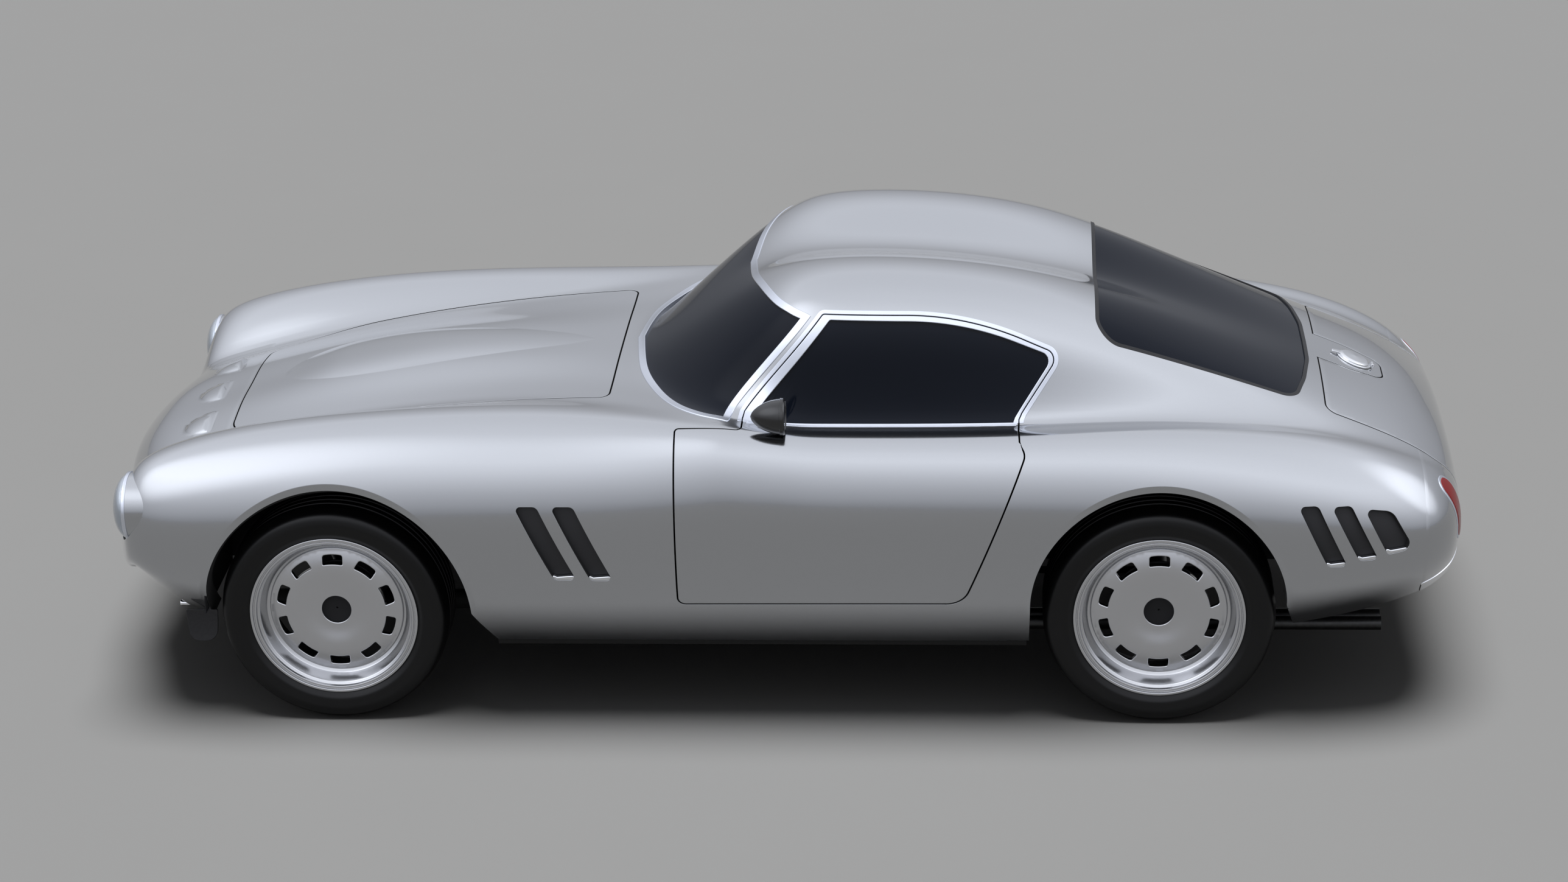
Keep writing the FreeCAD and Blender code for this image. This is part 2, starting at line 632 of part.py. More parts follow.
def bound(kind, name, formulas, place, turn=None):
    """A Part primitive whose sizes are formulas of the sheet."""
    solid = doc.addObject("Part::" + kind, name)
    for prop, formula in formulas.items():
        solid.setExpression(prop, formula)
    solid.Placement = FreeCAD.Placement(place, turn or FreeCAD.Rotation())
    return solid


def fused(label, members, record=True):
    """One sub-part joined from primitives."""
    joined = doc.addObject("Part::MultiFuse", label)
    joined.Label = label
    joined.Shapes = members
    joined.Refine = True
    if record:
        PIECES.append(joined)
    return joined


TO_Y = FreeCAD.Rotation(V(1, 0, 0), -90)
TO_X = FreeCAD.Rotation(V(0, 1, 0), 90)
HUB_Z = size("tyre_radius")
TURN_Y = size("steer_offset")
RIM_FACE = size("wheel_offset") - size("rim_width") / 2
SPINDLE_END = RIM_FACE + size("rim_width") - 70

for name, side in (("left", -1), ("right", 1)):
    towards = FreeCAD.Rotation(V(1, 0, 0), -90 * side)
    spindle = bound("Cylinder", "spindle_" + name,
                    {"Radius": "sizes.spindle", "Height": "%g" % (SPINDLE_END - TURN_Y)},
                    V(FRONT_AXLE, side * TURN_Y, HUB_Z), towards)
    upright = bound("Cylinder", "upright_" + name, {"Radius": "22", "Height": "175"},
                    V(FRONT_AXLE, side * TURN_Y, HUB_Z - 91.5))
    arm = bound("Box", "steer_arm_" + name,
                {"Length": "140", "Width": "22", "Height": "22"},
                V(FRONT_AXLE, side * (TURN_Y - 6) - 11, HUB_Z - 70))
    fused("knuckle_" + name, [spindle, upright, arm])

# lower and upper wishbones with the cross member that carries them
members = [bound("Box", "cross_member", {"Length": "90", "Width": "2 * sizes.frame_half + 30",
                                         "Height": "50"},
                 V(FRONT_AXLE - 45, -size("frame_half") - 15, size("floor_height")))]
for side in (-1, 1):
    for rise in (-104, 96):
        inboard = V(FRONT_AXLE, side * size("frame_half"), HUB_Z + rise)
        for reach in (-110, 110):
            start = inboard + V(reach, 0, 0)
            way = V(FRONT_AXLE, side * TURN_Y, HUB_Z + rise) - start
            tube = bound("Cylinder", "wishbone",
                         {"Radius": "12", "Height": "%.4f" % way.Length}, start,
                         FreeCAD.Rotation(V(0, 0, 1), way))
            members.append(tube)
    tower = bound("Box", "spring_tower", {"Length": "250", "Width": "30", "Height": "250"},
                  V(FRONT_AXLE - 125, side * size("frame_half") - 15, size("floor_height")))
    members.append(tower)
fused("front_suspension", members)

# the tubular frame under the floor, with the engine mounts
ENGINE_FOOT = 290
frame_z = size("floor_height") - size("frame_tube")
members = []
for side in (-1, 1):
    members.append(bound("Cylinder", "rail", {
        "Radius": "sizes.frame_tube",
        "Height": "sizes.wheelbase + 0.5 * sizes.front_overhang - 380"},
        V(FRONT_AXLE - 0.5 * size("front_overhang"), side * size("frame_half"), frame_z), TO_X))
for x in (FRONT_AXLE - 300, FRONT_AXLE + 480, FRONT_AXLE + 1200, REAR_AXLE - 420):
    members.append(bound("Cylinder", "cross_tube", {
        "Radius": "sizes.frame_tube - 6", "Height": "2 * sizes.frame_half"},
        V(x, -size("frame_half"), frame_z), TO_Y))
for x in (FRONT_AXLE + 150, FRONT_AXLE + 390):
    for side in (-1, 1):
        members.append(bound("Box", "engine_mount", {
            "Length": "60", "Width": "110",
            "Height": "%g - sizes.floor_height + 15" % (ENGINE_FOOT - size("fit_gap"))},
            V(x, side * 245 - 55, size("floor_height") - 15)))
fused("chassis_frame", members)

# live rear axle with its differential and leaf springs
members = [bound("Cylinder", "axle_tube", {
    "Radius": "sizes.axle_tube", "Height": "2 * (%g)" % (RIM_FACE + 40)},
    V(REAR_AXLE, -RIM_FACE - 40, HUB_Z), TO_Y),
    bound("Sphere", "differential", {"Radius": "125"}, V(REAR_AXLE, 0, HUB_Z))]
for side in (-1, 1):
    towards = FreeCAD.Rotation(V(1, 0, 0), -90 * side)
    members.append(bound("Cylinder", "rear_spindle", {
        "Radius": "sizes.spindle", "Height": "%g" % (SPINDLE_END - RIM_FACE)},
        V(REAR_AXLE, side * RIM_FACE, HUB_Z), towards))
    members.append(bound("Box", "leaf_spring", {
        "Length": "0.8 * sizes.rear_overhang", "Width": "50", "Height": "36"},
        V(along(2018) + size("fit_gap"), side * size("spring_half") - 25, HUB_Z - 62)))
fused("rear_axle", members)

# exhaust: twin pipes along the left side under the rear axle
members = []
for y in (-412, -462):
    members.append(bound("Cylinder", "pipe", {
        "Radius": "sizes.pipe_radius",
        "Height": "sizes.wheelbase + 0.75 * sizes.rear_overhang - 520"},
        V(FRONT_AXLE + 520, across(y), 190), TO_X))
members.append(bound("Box", "silencer", {"Length": "420", "Width": "120", "Height": "72"},
                     V(FRONT_AXLE + 1250, across(-437) - 60,
                       size("floor_height") - 72 - size("seat_gap"))))
fused("exhaust", members)

engine = bound("Box", "engine", {"Length": "620", "Width": "440", "Height": "430"},
               V(FRONT_AXLE - 60, -220, ENGINE_FOOT))
engine.Label = "engine_block"
PIECES.append(engine)

# --------------------------------------------------------------------------
# Floor, bulkheads and inner walls, trimmed by the inside of the skin
# --------------------------------------------------------------------------

FLOOR = size("floor_height")
THICK = size("floor_thick")
PAD = (90, 70, 10)


def slab(x0, x1, y0, y1, z0, z1):
    return Part.makeBox(along(x1) - along(x0), y1 - y0, z1 - z0, V(along(x0), y0, z0))


half = across(760)
floor = slab(470, 2000, -half, half, FLOOR, FLOOR + THICK)
tunnel = slab(720, 2000, -size("tunnel_half"), size("tunnel_half"), FLOOR,
              FLOOR + size("tunnel_rise"))
inside = slab(700, 2020, -size("tunnel_half") + 8, size("tunnel_half") - 8, FLOOR - 1,
              FLOOR + size("tunnel_rise") - 8)
floor = floor.fuse(tunnel)
floor = floor.fuse(slab(720, 740, -half, half, FLOOR, up(800)))
floor = floor.fuse(slab(2000, 2018, -across(735), across(735), FLOOR, up(830)))
floor = floor.cut(inside)
trunk_floor = slab(2018, 3180, -across(470), across(470), up(480), up(480) + 14)
floor = floor.fuse(trunk_floor)
for side in (-1, 1):
    low, high = sorted((side * 470, side * 484))
    floor = floor.fuse(slab(2018, 3180, across(low), across(high), up(480), up(760)))
for x in (FRONT_AXLE + 750, FRONT_AXLE + 1850):
    for side in (-1, 1):
        corner = V(x - PAD[0] / 2, side * across(560) - PAD[1] / 2, FLOOR - PAD[2])
        floor = floor.fuse(Part.makeBox(*PAD, corner))
keep("floor_pan", solids_of(floor.common(CABIN)))

dash = slab(955, 1012, -half, half, up(640), up(840)).common(CABIN)
dash = dash.fuse(slab(1010, 1170, -across(672), across(672), up(640), up(840)).common(CABIN))
dash = dash.makeFillet(30, [e for e in dash.Edges
                            if e.BoundBox.XMin > along(1169) and e.BoundBox.ZLength < 1
                            and e.BoundBox.YLength > 500])
column_hole = Part.makeCylinder(17 + size("fit_gap"), 400, V(along(1400), -across(330), up(760)),
                                FreeCAD.Rotation(V(0, 1, 0), 68).multVec(V(0, 0, -1)))
keep("dashboard", solids_of(dash.cut(column_hole)))

# steering wheel on the left, tilted, with its column into the dashboard
column_turn = FreeCAD.Rotation(V(0, 1, 0), 68)
wheel_at = V(along(1400), -across(330), up(760))
grip = bound("Torus", "grip", {"Radius1": "sizes.wheel_rim", "Radius2": "sizes.wheel_grip"},
             wheel_at, column_turn)
boss = bound("Cylinder", "boss", {"Radius": "34", "Height": "44"},
             wheel_at - column_turn.multVec(V(0, 0, 30)), column_turn)
members = [grip, boss]
for angle in (90, 210, 330):
    spoke_turn = column_turn.multiply(FreeCAD.Rotation(V(0, 0, 1), angle))
    members.append(bound("Box", "spoke", {"Length": "sizes.wheel_rim", "Width": "26",
                                          "Height": "6"},
                         wheel_at - spoke_turn.multVec(V(0, 13, 3)), spoke_turn))
members.append(bound("Cylinder", "column", {"Radius": "17", "Height": "240"},
                     wheel_at - column_turn.multVec(V(0, 0, 262)), column_turn))
fused("steering_wheel", members)


def seat(side):
    """A bucket seat: cushion and back as one upholstered solid."""
    profile = rounded([(1430, 241, 30), (1910, 241, 50), (1992, 830, 50), (1880, 850, 45),
                       (1785, 440, 60), (1425, 440, 60)], in_side_view)
    width = size("seat_width")
    solid = side_prism(profile, side * across(350) - width / 2, side * across(350) + width / 2)
    solid.translate(V(0, 0, FLOOR + THICK + size("seat_gap") - up(241)))
    return solid


for name, side in (("left", -1), ("right", 1)):
    keep("seat_" + name, seat(side))

# --------------------------------------------------------------------------
# Lamps, mirrors, grille and fuel cap
# --------------------------------------------------------------------------

clear = size("lamp_radius") - size("seat_gap")
lens_ball = Part.makeSphere(150, LAMP + V(110, 0, 0))
lens = Part.makeCylinder(clear, 130, LAMP - V(60, 0, 0), V(1, 0, 0)).common(lens_ball)
shell_gap = Part.makeSphere(143, LAMP + V(110, 0, 0))
bucket = Part.makeCylinder(clear, 46, LAMP + V(4, 0, 0), V(1, 0, 0))
for name, side in (("left", -1), ("right", 1)):
    lamp = lens.cut(shell_gap).fuse(bucket)
    keep("headlight_" + name, solids_of(lamp if side < 0 else mirrored(lamp)))

tail_lamp = TAIL_LAMP.copy().makeOffset2D(-size("seat_gap")).extrude(V(300, 0, 0))
tail_lamp = tail_lamp.common(OUTER).cut(skin_solid(moved_net(NET, [30] * 11, 60.0)))
keep("tail_light_left", solids_of(tail_lamp))
keep("tail_light_right", mirrored(solids_of(tail_lamp)))

bars = INTAKE.copy().makeOffset2D(-size("seat_gap")).extrude(V(12, 0, 0))
bars.translate(V(40, 0, 0))
ring = INTAKE.copy().makeOffset2D(-16).extrude(V(12, 0, 0))
ring.translate(V(40, 0, 0))
mesh_bars = bars.cut(ring)
for step in range(-5, 6):
    bar = slab(-760, -600, across(step * 52) - 4, across(step * 52) + 4, up(300), up(520))
    mesh_bars = mesh_bars.fuse(bar.common(bars))
for step in range(1, 3):
    height = up(372 + step * 33)
    bar = slab(-760, -600, -across(400), across(400), height - 4, height + 4)
    mesh_bars = mesh_bars.fuse(bar.common(bars))
keep("grille", solids_of(mesh_bars))

cap_spot = V(along(3000), 0, up(905))
cap = Part.makeCylinder(size("cap_radius"), 60, cap_spot - V(0, 0, 50))
cap = cap.cut(OUTER)
cap.translate(V(0, 0, size("fit_gap")))
keep("fuel_cap", solids_of(cap))

for name, side in (("left", -1), ("right", 1)):
    centre = V(along(1247), -across(702), up(948))
    shell = Part.makeCone(16, 50, 86, centre, V(1, 0, 0))
    tip = Part.makeSphere(17, centre + V(3, 0, 0))
    foot = Part.makeCylinder(11, 90, centre + V(50, 0, -90), V(0, 0, 1))
    mirror = shell.fuse(tip).fuse(foot).cut(OUTER)
    mirror = solids_of(mirror.removeSplitter())
    keep("mirror_" + name, mirror if side < 0 else mirrored(mirror))

doc.recompute()
for item in doc.Objects:
    if "Invalid" in item.State or "Error" in item.State:
        raise RuntimeError("%s is %s" % (item.Label, item.State))
os.makedirs("parts", exist_ok=True)
for piece in PIECES:
    shape = piece.Shape
    if shape.isNull() or not shape.isValid():
        raise RuntimeError(piece.Label + " has no sound shape")
    print("%-18s solids %d valid %s volume %.4f L faces %d box %s" % (
        piece.Label, len(shape.Solids), shape.isValid(), shape.Volume / 1e6,
        len(shape.Faces), [round(v) for v in (
            shape.BoundBox.XMin, shape.BoundBox.XMax, shape.BoundBox.YMin,
            shape.BoundBox.YMax, shape.BoundBox.ZMin, shape.BoundBox.ZMax)]))
    shape.exportStep("parts/%s.step" % piece.Label)
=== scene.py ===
"""A silver two-seat fastback coupe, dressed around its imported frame."""
import json
import logging
import math
from dataclasses import dataclass, field
from enum import Enum
from typing import Callable, Optional, Sequence

import bpy
import numpy as np
from mathutils import Matrix, Vector
from mathutils.geometry import delaunay_2d_cdt


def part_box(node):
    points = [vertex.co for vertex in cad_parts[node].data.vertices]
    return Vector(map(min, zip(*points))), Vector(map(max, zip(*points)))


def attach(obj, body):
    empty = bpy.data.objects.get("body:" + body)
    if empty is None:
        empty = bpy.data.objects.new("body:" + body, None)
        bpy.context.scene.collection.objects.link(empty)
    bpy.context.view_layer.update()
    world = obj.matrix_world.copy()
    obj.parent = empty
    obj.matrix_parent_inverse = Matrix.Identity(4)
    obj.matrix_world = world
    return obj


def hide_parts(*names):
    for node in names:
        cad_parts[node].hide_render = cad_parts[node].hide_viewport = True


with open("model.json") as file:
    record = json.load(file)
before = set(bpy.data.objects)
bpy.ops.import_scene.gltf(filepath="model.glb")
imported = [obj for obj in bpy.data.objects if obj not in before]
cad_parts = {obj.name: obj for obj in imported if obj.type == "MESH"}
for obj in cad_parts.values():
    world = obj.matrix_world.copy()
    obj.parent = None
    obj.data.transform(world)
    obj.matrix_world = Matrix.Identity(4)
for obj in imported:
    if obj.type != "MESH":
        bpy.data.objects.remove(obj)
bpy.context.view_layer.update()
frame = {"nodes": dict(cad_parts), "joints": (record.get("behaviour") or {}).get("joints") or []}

logging.basicConfig(level=logging.INFO, format="%(message)s")
LOG = logging.getLogger("coupe")
Array = np.ndarray
MM = 0.001
JOINTS = {joint["name"]: joint for joint in frame["joints"]}
FRONT_AXLE = JOINTS["roll_front_left"]["pos_m"][0]
REAR_AXLE = JOINTS["roll_rear_left"]["pos_m"][0]
HUB_Z = JOINTS["roll_front_left"]["pos_m"][2]
NET_SIZE = 21
SPAN = 18.0
MIDDLE = 9.0
LEVELS = (0.5, 2.0, 4.0, 6.5, 9.0)
KNOTS = np.linspace(0, SPAN, 181)
MARKS = np.hstack([-1, KNOTS, SPAN + 1])
MM_PER_V = 400.0
# Where the panels part: along the car in u, and up and over it in v.
U_NOSE, U_COWL, U_DOOR, U_ROOF, U_SHIELD = 3.5, 6.6, 7.76, 9.9, 11.0
U_DOOR_END, U_REAR_GLASS, U_DECK, U_LID, U_TAIL = 12.12, 13.4, 14.9, 15.95, 16.4
V_STRIP, V_SILL, V_SHOULDER, V_BELT = 0.2, 0.62, 3.0, 4.72
V_LEDGE, V_ROOF_SIDE, V_DECK, V_ROOF = 5.0, 6.0, 6.3, 7.3
SIDES = (("left", -1), ("right", 1))
AHEAD = np.array([[0.0, -1, 0], [1, 0, 0], [0, 0, 1]])
UPRIGHT = np.eye(3)

SIDE_COLUMNS = 6
COLUMNS = ("x", "sweep", "sill_y", "sill_z", "waist_y", "waist_z", "crest_y", "crest_z",
           "belt_y", "belt_z", "rail_y", "rail_z", "crown_z", "mid_z")
STATIONS = (
    (-722, 0, 230, 365, 290, 440, 240, 505, 180, 515, 120, 520, 523, 525),
    (-722, 60, 430, 352, 560, 445, 500, 540, 380, 560, 250, 572, 580, 583),
    (-690, 70, 560, 400, 670, 480, 600, 640, 430, 600, 270, 618, 630, 634),
    (-610, 12, 610, 470, 745, 520, 645, 785, 425, 660, 270, 680, 700, 704),
    (-480, 0, 635, 310, 795, 500, 635, 855, 405, 703, 270, 725, 738, 735),
    (-250, 0, 660, 260, 820, 500, 625, 910, 400, 768, 260, 790, 810, 800),
    (50, 0, 700, 250, 826, 500, 640, 940, 415, 832, 260, 855, 888, 878),
    (400, 0, 705, 245, 826, 500, 645, 950, 430, 880, 260, 890, 918, 912),
    (740, 0, 705, 245, 824, 500, 660, 938, 470, 908, 280, 908, 918, 918),
    (835, 300, 705, 245, 822, 500, 735, 905, 630, 915, 400, 905, 910, 912),
    (880, 292, 705, 245, 822, 500, 735, 902, 625, 908, 420, 925, 935, 935),
    (1180, 190, 705, 245, 822, 500, 732, 893, 612, 882, 507, 1200, 1220, 1172),
    (1410, 0, 705, 245, 822, 500, 730, 888, 608, 880, 515, 1228, 1312, 1165),
    (1750, 0, 705, 245, 822, 500, 728, 886, 606, 878, 510, 1232, 1305, 1160),
    (2080, 0, 705, 245, 825, 500, 725, 890, 600, 882, 490, 1190, 1252, 1112),
    (2400, 0, 700, 250, 828, 500, 710, 903, 580, 890, 460, 1065, 1120, 1060),
    (2850, 0, 690, 300, 815, 520, 660, 864, 540, 848, 420, 878, 902, 903),
    (3110, 0, 650, 360, 772, 530, 620, 770, 500, 756, 340, 780, 798, 801),
    (3225, 0, 590, 395, 690, 530, 560, 686, 430, 690, 280, 706, 716, 719),
    (3282, 0, 470, 430, 560, 520, 440, 620, 340, 640, 220, 655, 660, 660),
    (3282, 0, 250, 450, 290, 500, 240, 540, 180, 548, 110, 552, 554, 555),
)


# ---------------------------------------------------------------------------
# Number helpers
# ---------------------------------------------------------------------------


def smooth_step(t: Array) -> Array:
    """The cubic ramp 3t^2 - 2t^3 of t held between 0 and 1."""
    t = np.clip(t, 0.0, 1.0)
    return t * t * (3.0 - 2.0 * t)


def unit(vectors: Array) -> Array:
    """Each row divided by its own length."""
    return vectors / np.maximum(np.linalg.norm(vectors, axis=-1, keepdims=True), 1e-12)


def bspline_basis(count: int, t: Array) -> Array:
    """Values of a clamped uniform cubic B-spline basis.

    Formula: the Cox-de Boor recursion from degree 0 to 3 on the knots
    0,0,0,0,1,2,...,m,m,m,m with m = count - 3.

    Args:
        count: Number of control values.
        t: Parameters from 0 to count - 3, any shape.

    Returns:
        Array of the shape of t with one more axis of length count.
    """
    top = count - 3
    knots = np.concatenate([np.zeros(3), np.arange(top + 1), np.full(3, top)]).astype(float)
    t = np.clip(np.asarray(t, float), 0.0, top - 1e-9)[..., None]
    weights = ((t >= knots[:-1]) & (t < knots[1:])).astype(float)
    for degree in (1, 2, 3):
        a, b = knots[:-degree - 1], knots[degree:-1]
        c, d = knots[1:-degree], knots[degree + 1:]
        rise = np.where(b > a, (t - a) / np.where(b > a, b - a, 1.0), 0.0)
        fall = np.where(d > c, (d - t) / np.where(d > c, d - c, 1.0), 0.0)
        weights = rise * weights[..., :-1] + fall * weights[..., 1:]
    return weights


def curve_through(points: Sequence[Sequence[float]], steps: int = 12) -> Array:
    """A smooth line through the points.

    Formula: a Catmull-Rom cubic between each two neighbours, with the end
    points reflected to give the end tangents.

    Args:
        points: Points of any dimension in order.
        steps: Samples per span.

    Returns:
        Array of samples from the first point to the last.
    """
    p = np.asarray(points, float)
    p = np.vstack([2 * p[0] - p[1], p, 2 * p[-1] - p[-2]])
    t = np.linspace(0.0, 1.0, steps, endpoint=False)[None, :, None]
    a, b, c, d = (p[k:len(p) - 3 + k, None, :] for k in range(4))
    line = 0.5 * (2 * b + (c - a) * t + (2 * a - 5 * b + 4 * c - d) * t ** 2
                  + (3 * b - a - 3 * c + d) * t ** 3)
    return np.vstack([line.reshape(-1, p.shape[1]), p[-2:-1]])


def inside(loop: Array, a: Array, b: Array) -> Array:
    """Which points (a, b) lie within a closed loop, by counting crossings."""
    x0, y0 = loop[:, 0], loop[:, 1]
    x1, y1 = np.roll(x0, -1), np.roll(y0, -1)
    a, b = np.ravel(a)[:, None], np.ravel(b)[:, None]
    spans = (y0 > b) != (y1 > b)
    slope = (x1 - x0) / np.where(y1 == y0, 1e-12, y1 - y0)
    hits = spans & (a < x0 + (b - y0) * slope)
    return (hits.sum(1) % 2).astype(bool)


# ---------------------------------------------------------------------------
# Outlines, drawn in flat views and laid onto the skin
# ---------------------------------------------------------------------------


class View(Enum):
    """How a run of an outline is drawn: in a flat view, or along the net."""

    SIDE = (0, 2)
    PLAN = (0, 1)
    FRONT = (1, 2)
    NET = (0, 3)


@dataclass(frozen=True)
class Run:
    """A stretch of an outline as corners (a, b, radius) in one view.

    Lengths are reference millimetres with x measured behind the front axle;
    in View.NET the second value is the skin's cross parameter v.
    """

    view: View
    corners: tuple[tuple[float, ...], ...]
    rows: tuple[float, float] = (-1.0, 19.0)
    columns: tuple[float, float] = (-0.8, 9.6)

    def points(self, closed: bool, step: float = 9.0) -> Array:
        """Dense points along the run.

        Formula: each corner with a radius is an arc that touches both runs,
        and the straight parts between are cut into equal steps.

        Args:
            closed: Whether the last corner joins the first.
            step: Largest distance between points.

        Returns:
            Array (n, 2) in the run's own view.
        """
        spots = np.array([c[:2] for c in self.corners], float)
        radii = np.array([c[2] if len(c) > 2 else 0.0 for c in self.corners])
        back = unit(np.roll(spots, 1, 0) - spots)
        ahead = unit(np.roll(spots, -1, 0) - spots)
        half = 0.5 * np.arccos(np.clip((back * ahead).sum(1), -1, 1))
        reach = np.where(radii > 0, radii / np.tan(np.maximum(half, 1e-3)), 0.0)
        scale = np.array([1.0, MM_PER_V]) if self.view is View.NET else np.ones(2)
        parts = []
        for k in range(len(spots)):
            stop = spots[k] + ahead[k] * reach[k]
            if radii[k] > 0:
                centre = spots[k] + unit(back[k] + ahead[k]) * radii[k] / math.sin(half[k])
                turn = math.pi - 2 * half[k]
                t = np.linspace(0, 1, max(4, int(radii[k] * turn / min(step, 6)) + 2))[:, None]
                angle = turn * (t - 0.5)
                axis = unit(spots[k] - centre)
                side = unit(ahead[k] - back[k])
                parts.append(centre + radii[k] * (axis * np.cos(angle) + side * np.sin(angle)))
            else:
                parts.append(spots[k:k + 1])
            after = (k + 1) % len(spots)
            if after == 0 and not closed:
                break
            goal = spots[after] + back[after] * reach[after]
            count = max(1, int(np.linalg.norm((goal - stop) * scale) / step))
            t = np.linspace(0, 1, count + 1)[1:-1, None]
            parts.append(stop * (1 - t) + goal * t)
        return np.vstack(parts)


def arc_corners(x: float, z: float, radius: float, start: float, stop: float,
                count: int) -> tuple[tuple[float, float], ...]:
    """Points on a circle about (x, z), with angles in degrees from +x up."""
    angle = np.radians(np.linspace(start, stop, count))
    return tuple(zip(x + radius * np.cos(angle), z + radius * np.sin(angle)))


@dataclass(frozen=True)
class Arch:
    """A wheel opening: its round top and the reach of its two legs."""

    x: float
    z: float
    radius: float
    front: float
    rear: float

    def outline(self, grow: float = 0.0) -> tuple[Run]:
        """The opening, its top and its front leg moved out by grow."""
        ring = arc_corners(self.x, self.z, self.radius + grow, 180, 0, 131)
        corners = ((self.x - self.front - grow, -20.0),) + ring + ((self.x + self.rear, -20.0),)
        return (Run(View.SIDE, corners, columns=(-0.8, 3.4)),)


def air_slot(x: float, top: float, foot: float, lean: float, width: float) -> Run:
    """A slanted slot in the side with rounded corners."""
    return Run(View.SIDE, ((x, top, 12), (x + width, top, 20),
                           (x + width + lean, foot, 12), (x + lean, foot, 20)),
               columns=(0.0, 3.3))


def slot_lip(start: float, stop: float, foot: float) -> Run:
    """The bright sliver along the foot of a slot."""
    return Run(View.SIDE, ((start - 2, foot - 6), (stop + 2, foot - 6), (stop - 1, foot + 11, 3),
                           (start + 8, foot + 6, 8), (start - 4, foot + 13, 3)),
               columns=(0.0, 3.6))


LIP_WIDTH = 17.0
LIP_DEPTH = 8.0
RELIEF = 15.0
RELIEF_FLOOR = 600.0
DOOR_FRONT = 1014.0
DOOR_EDGE_DEPTH = 26.0
TOP_COLUMNS = (3.4, 9.6)
ARCHES = {"front": Arch(20, 359, 392, 430, 600), "rear": Arch(2395, 383, 367, 375, 480)}
CURVED = {"shield_ends", "bulge"}
OPEN = {"shield_sides"}
CLOSERS = {"shield_sides": np.array([(11.3, 9.6), (6.0, 9.6), (6.0, 4.0)])}
BULGE = ((-246, 0), (-236, 34), (-190, 88), (-120, 128), (-40, 152), (60, 161), (160, 156),
         (260, 141), (375, 118), (465, 96), (560, 70), (650, 40), (716, 0))
SCOOPS = ((-430, -234, 62, 86), (-436, 0, 74, 80))
SLOTS = {"slot_a": (556, 709, 484, 108, 66), "slot_b": (661, 709, 482, 108, 66),
         "slot_c": (2783, 704, 521, 88, 57), "slot_d": (2877, 699, 537, 82, 57)}
LIPS = {"lip_a": (664, 730, 484), "lip_b": (769, 835, 482), "lip_c": (2871, 2928, 521),
        "lip_d": (2959, 3016, 537), "lip_e": (3040, 3114, 553)}
LIP_NAMES = tuple(LIPS)
SLOT_NAMES = tuple(SLOTS) + ("slot_e",)


def scoop_outline(number: int) -> Run:
    """The D-shaped foot of a raised dome on the nose: straight behind, round ahead."""
    x, y, half, reach = SCOOPS[number]
    angle = np.radians(np.linspace(90, 270, 37))
    ring = [(x + reach * math.cos(a), y + half * math.sin(a)) for a in angle]
    if y == 0:
        ring = [(px, py) for px, py in ring if py < 1] + [(x, 12.0)]
        ring.insert(0, (ring[0][0], 12.0))
    return Run(View.PLAN, tuple(ring), columns=TOP_COLUMNS)


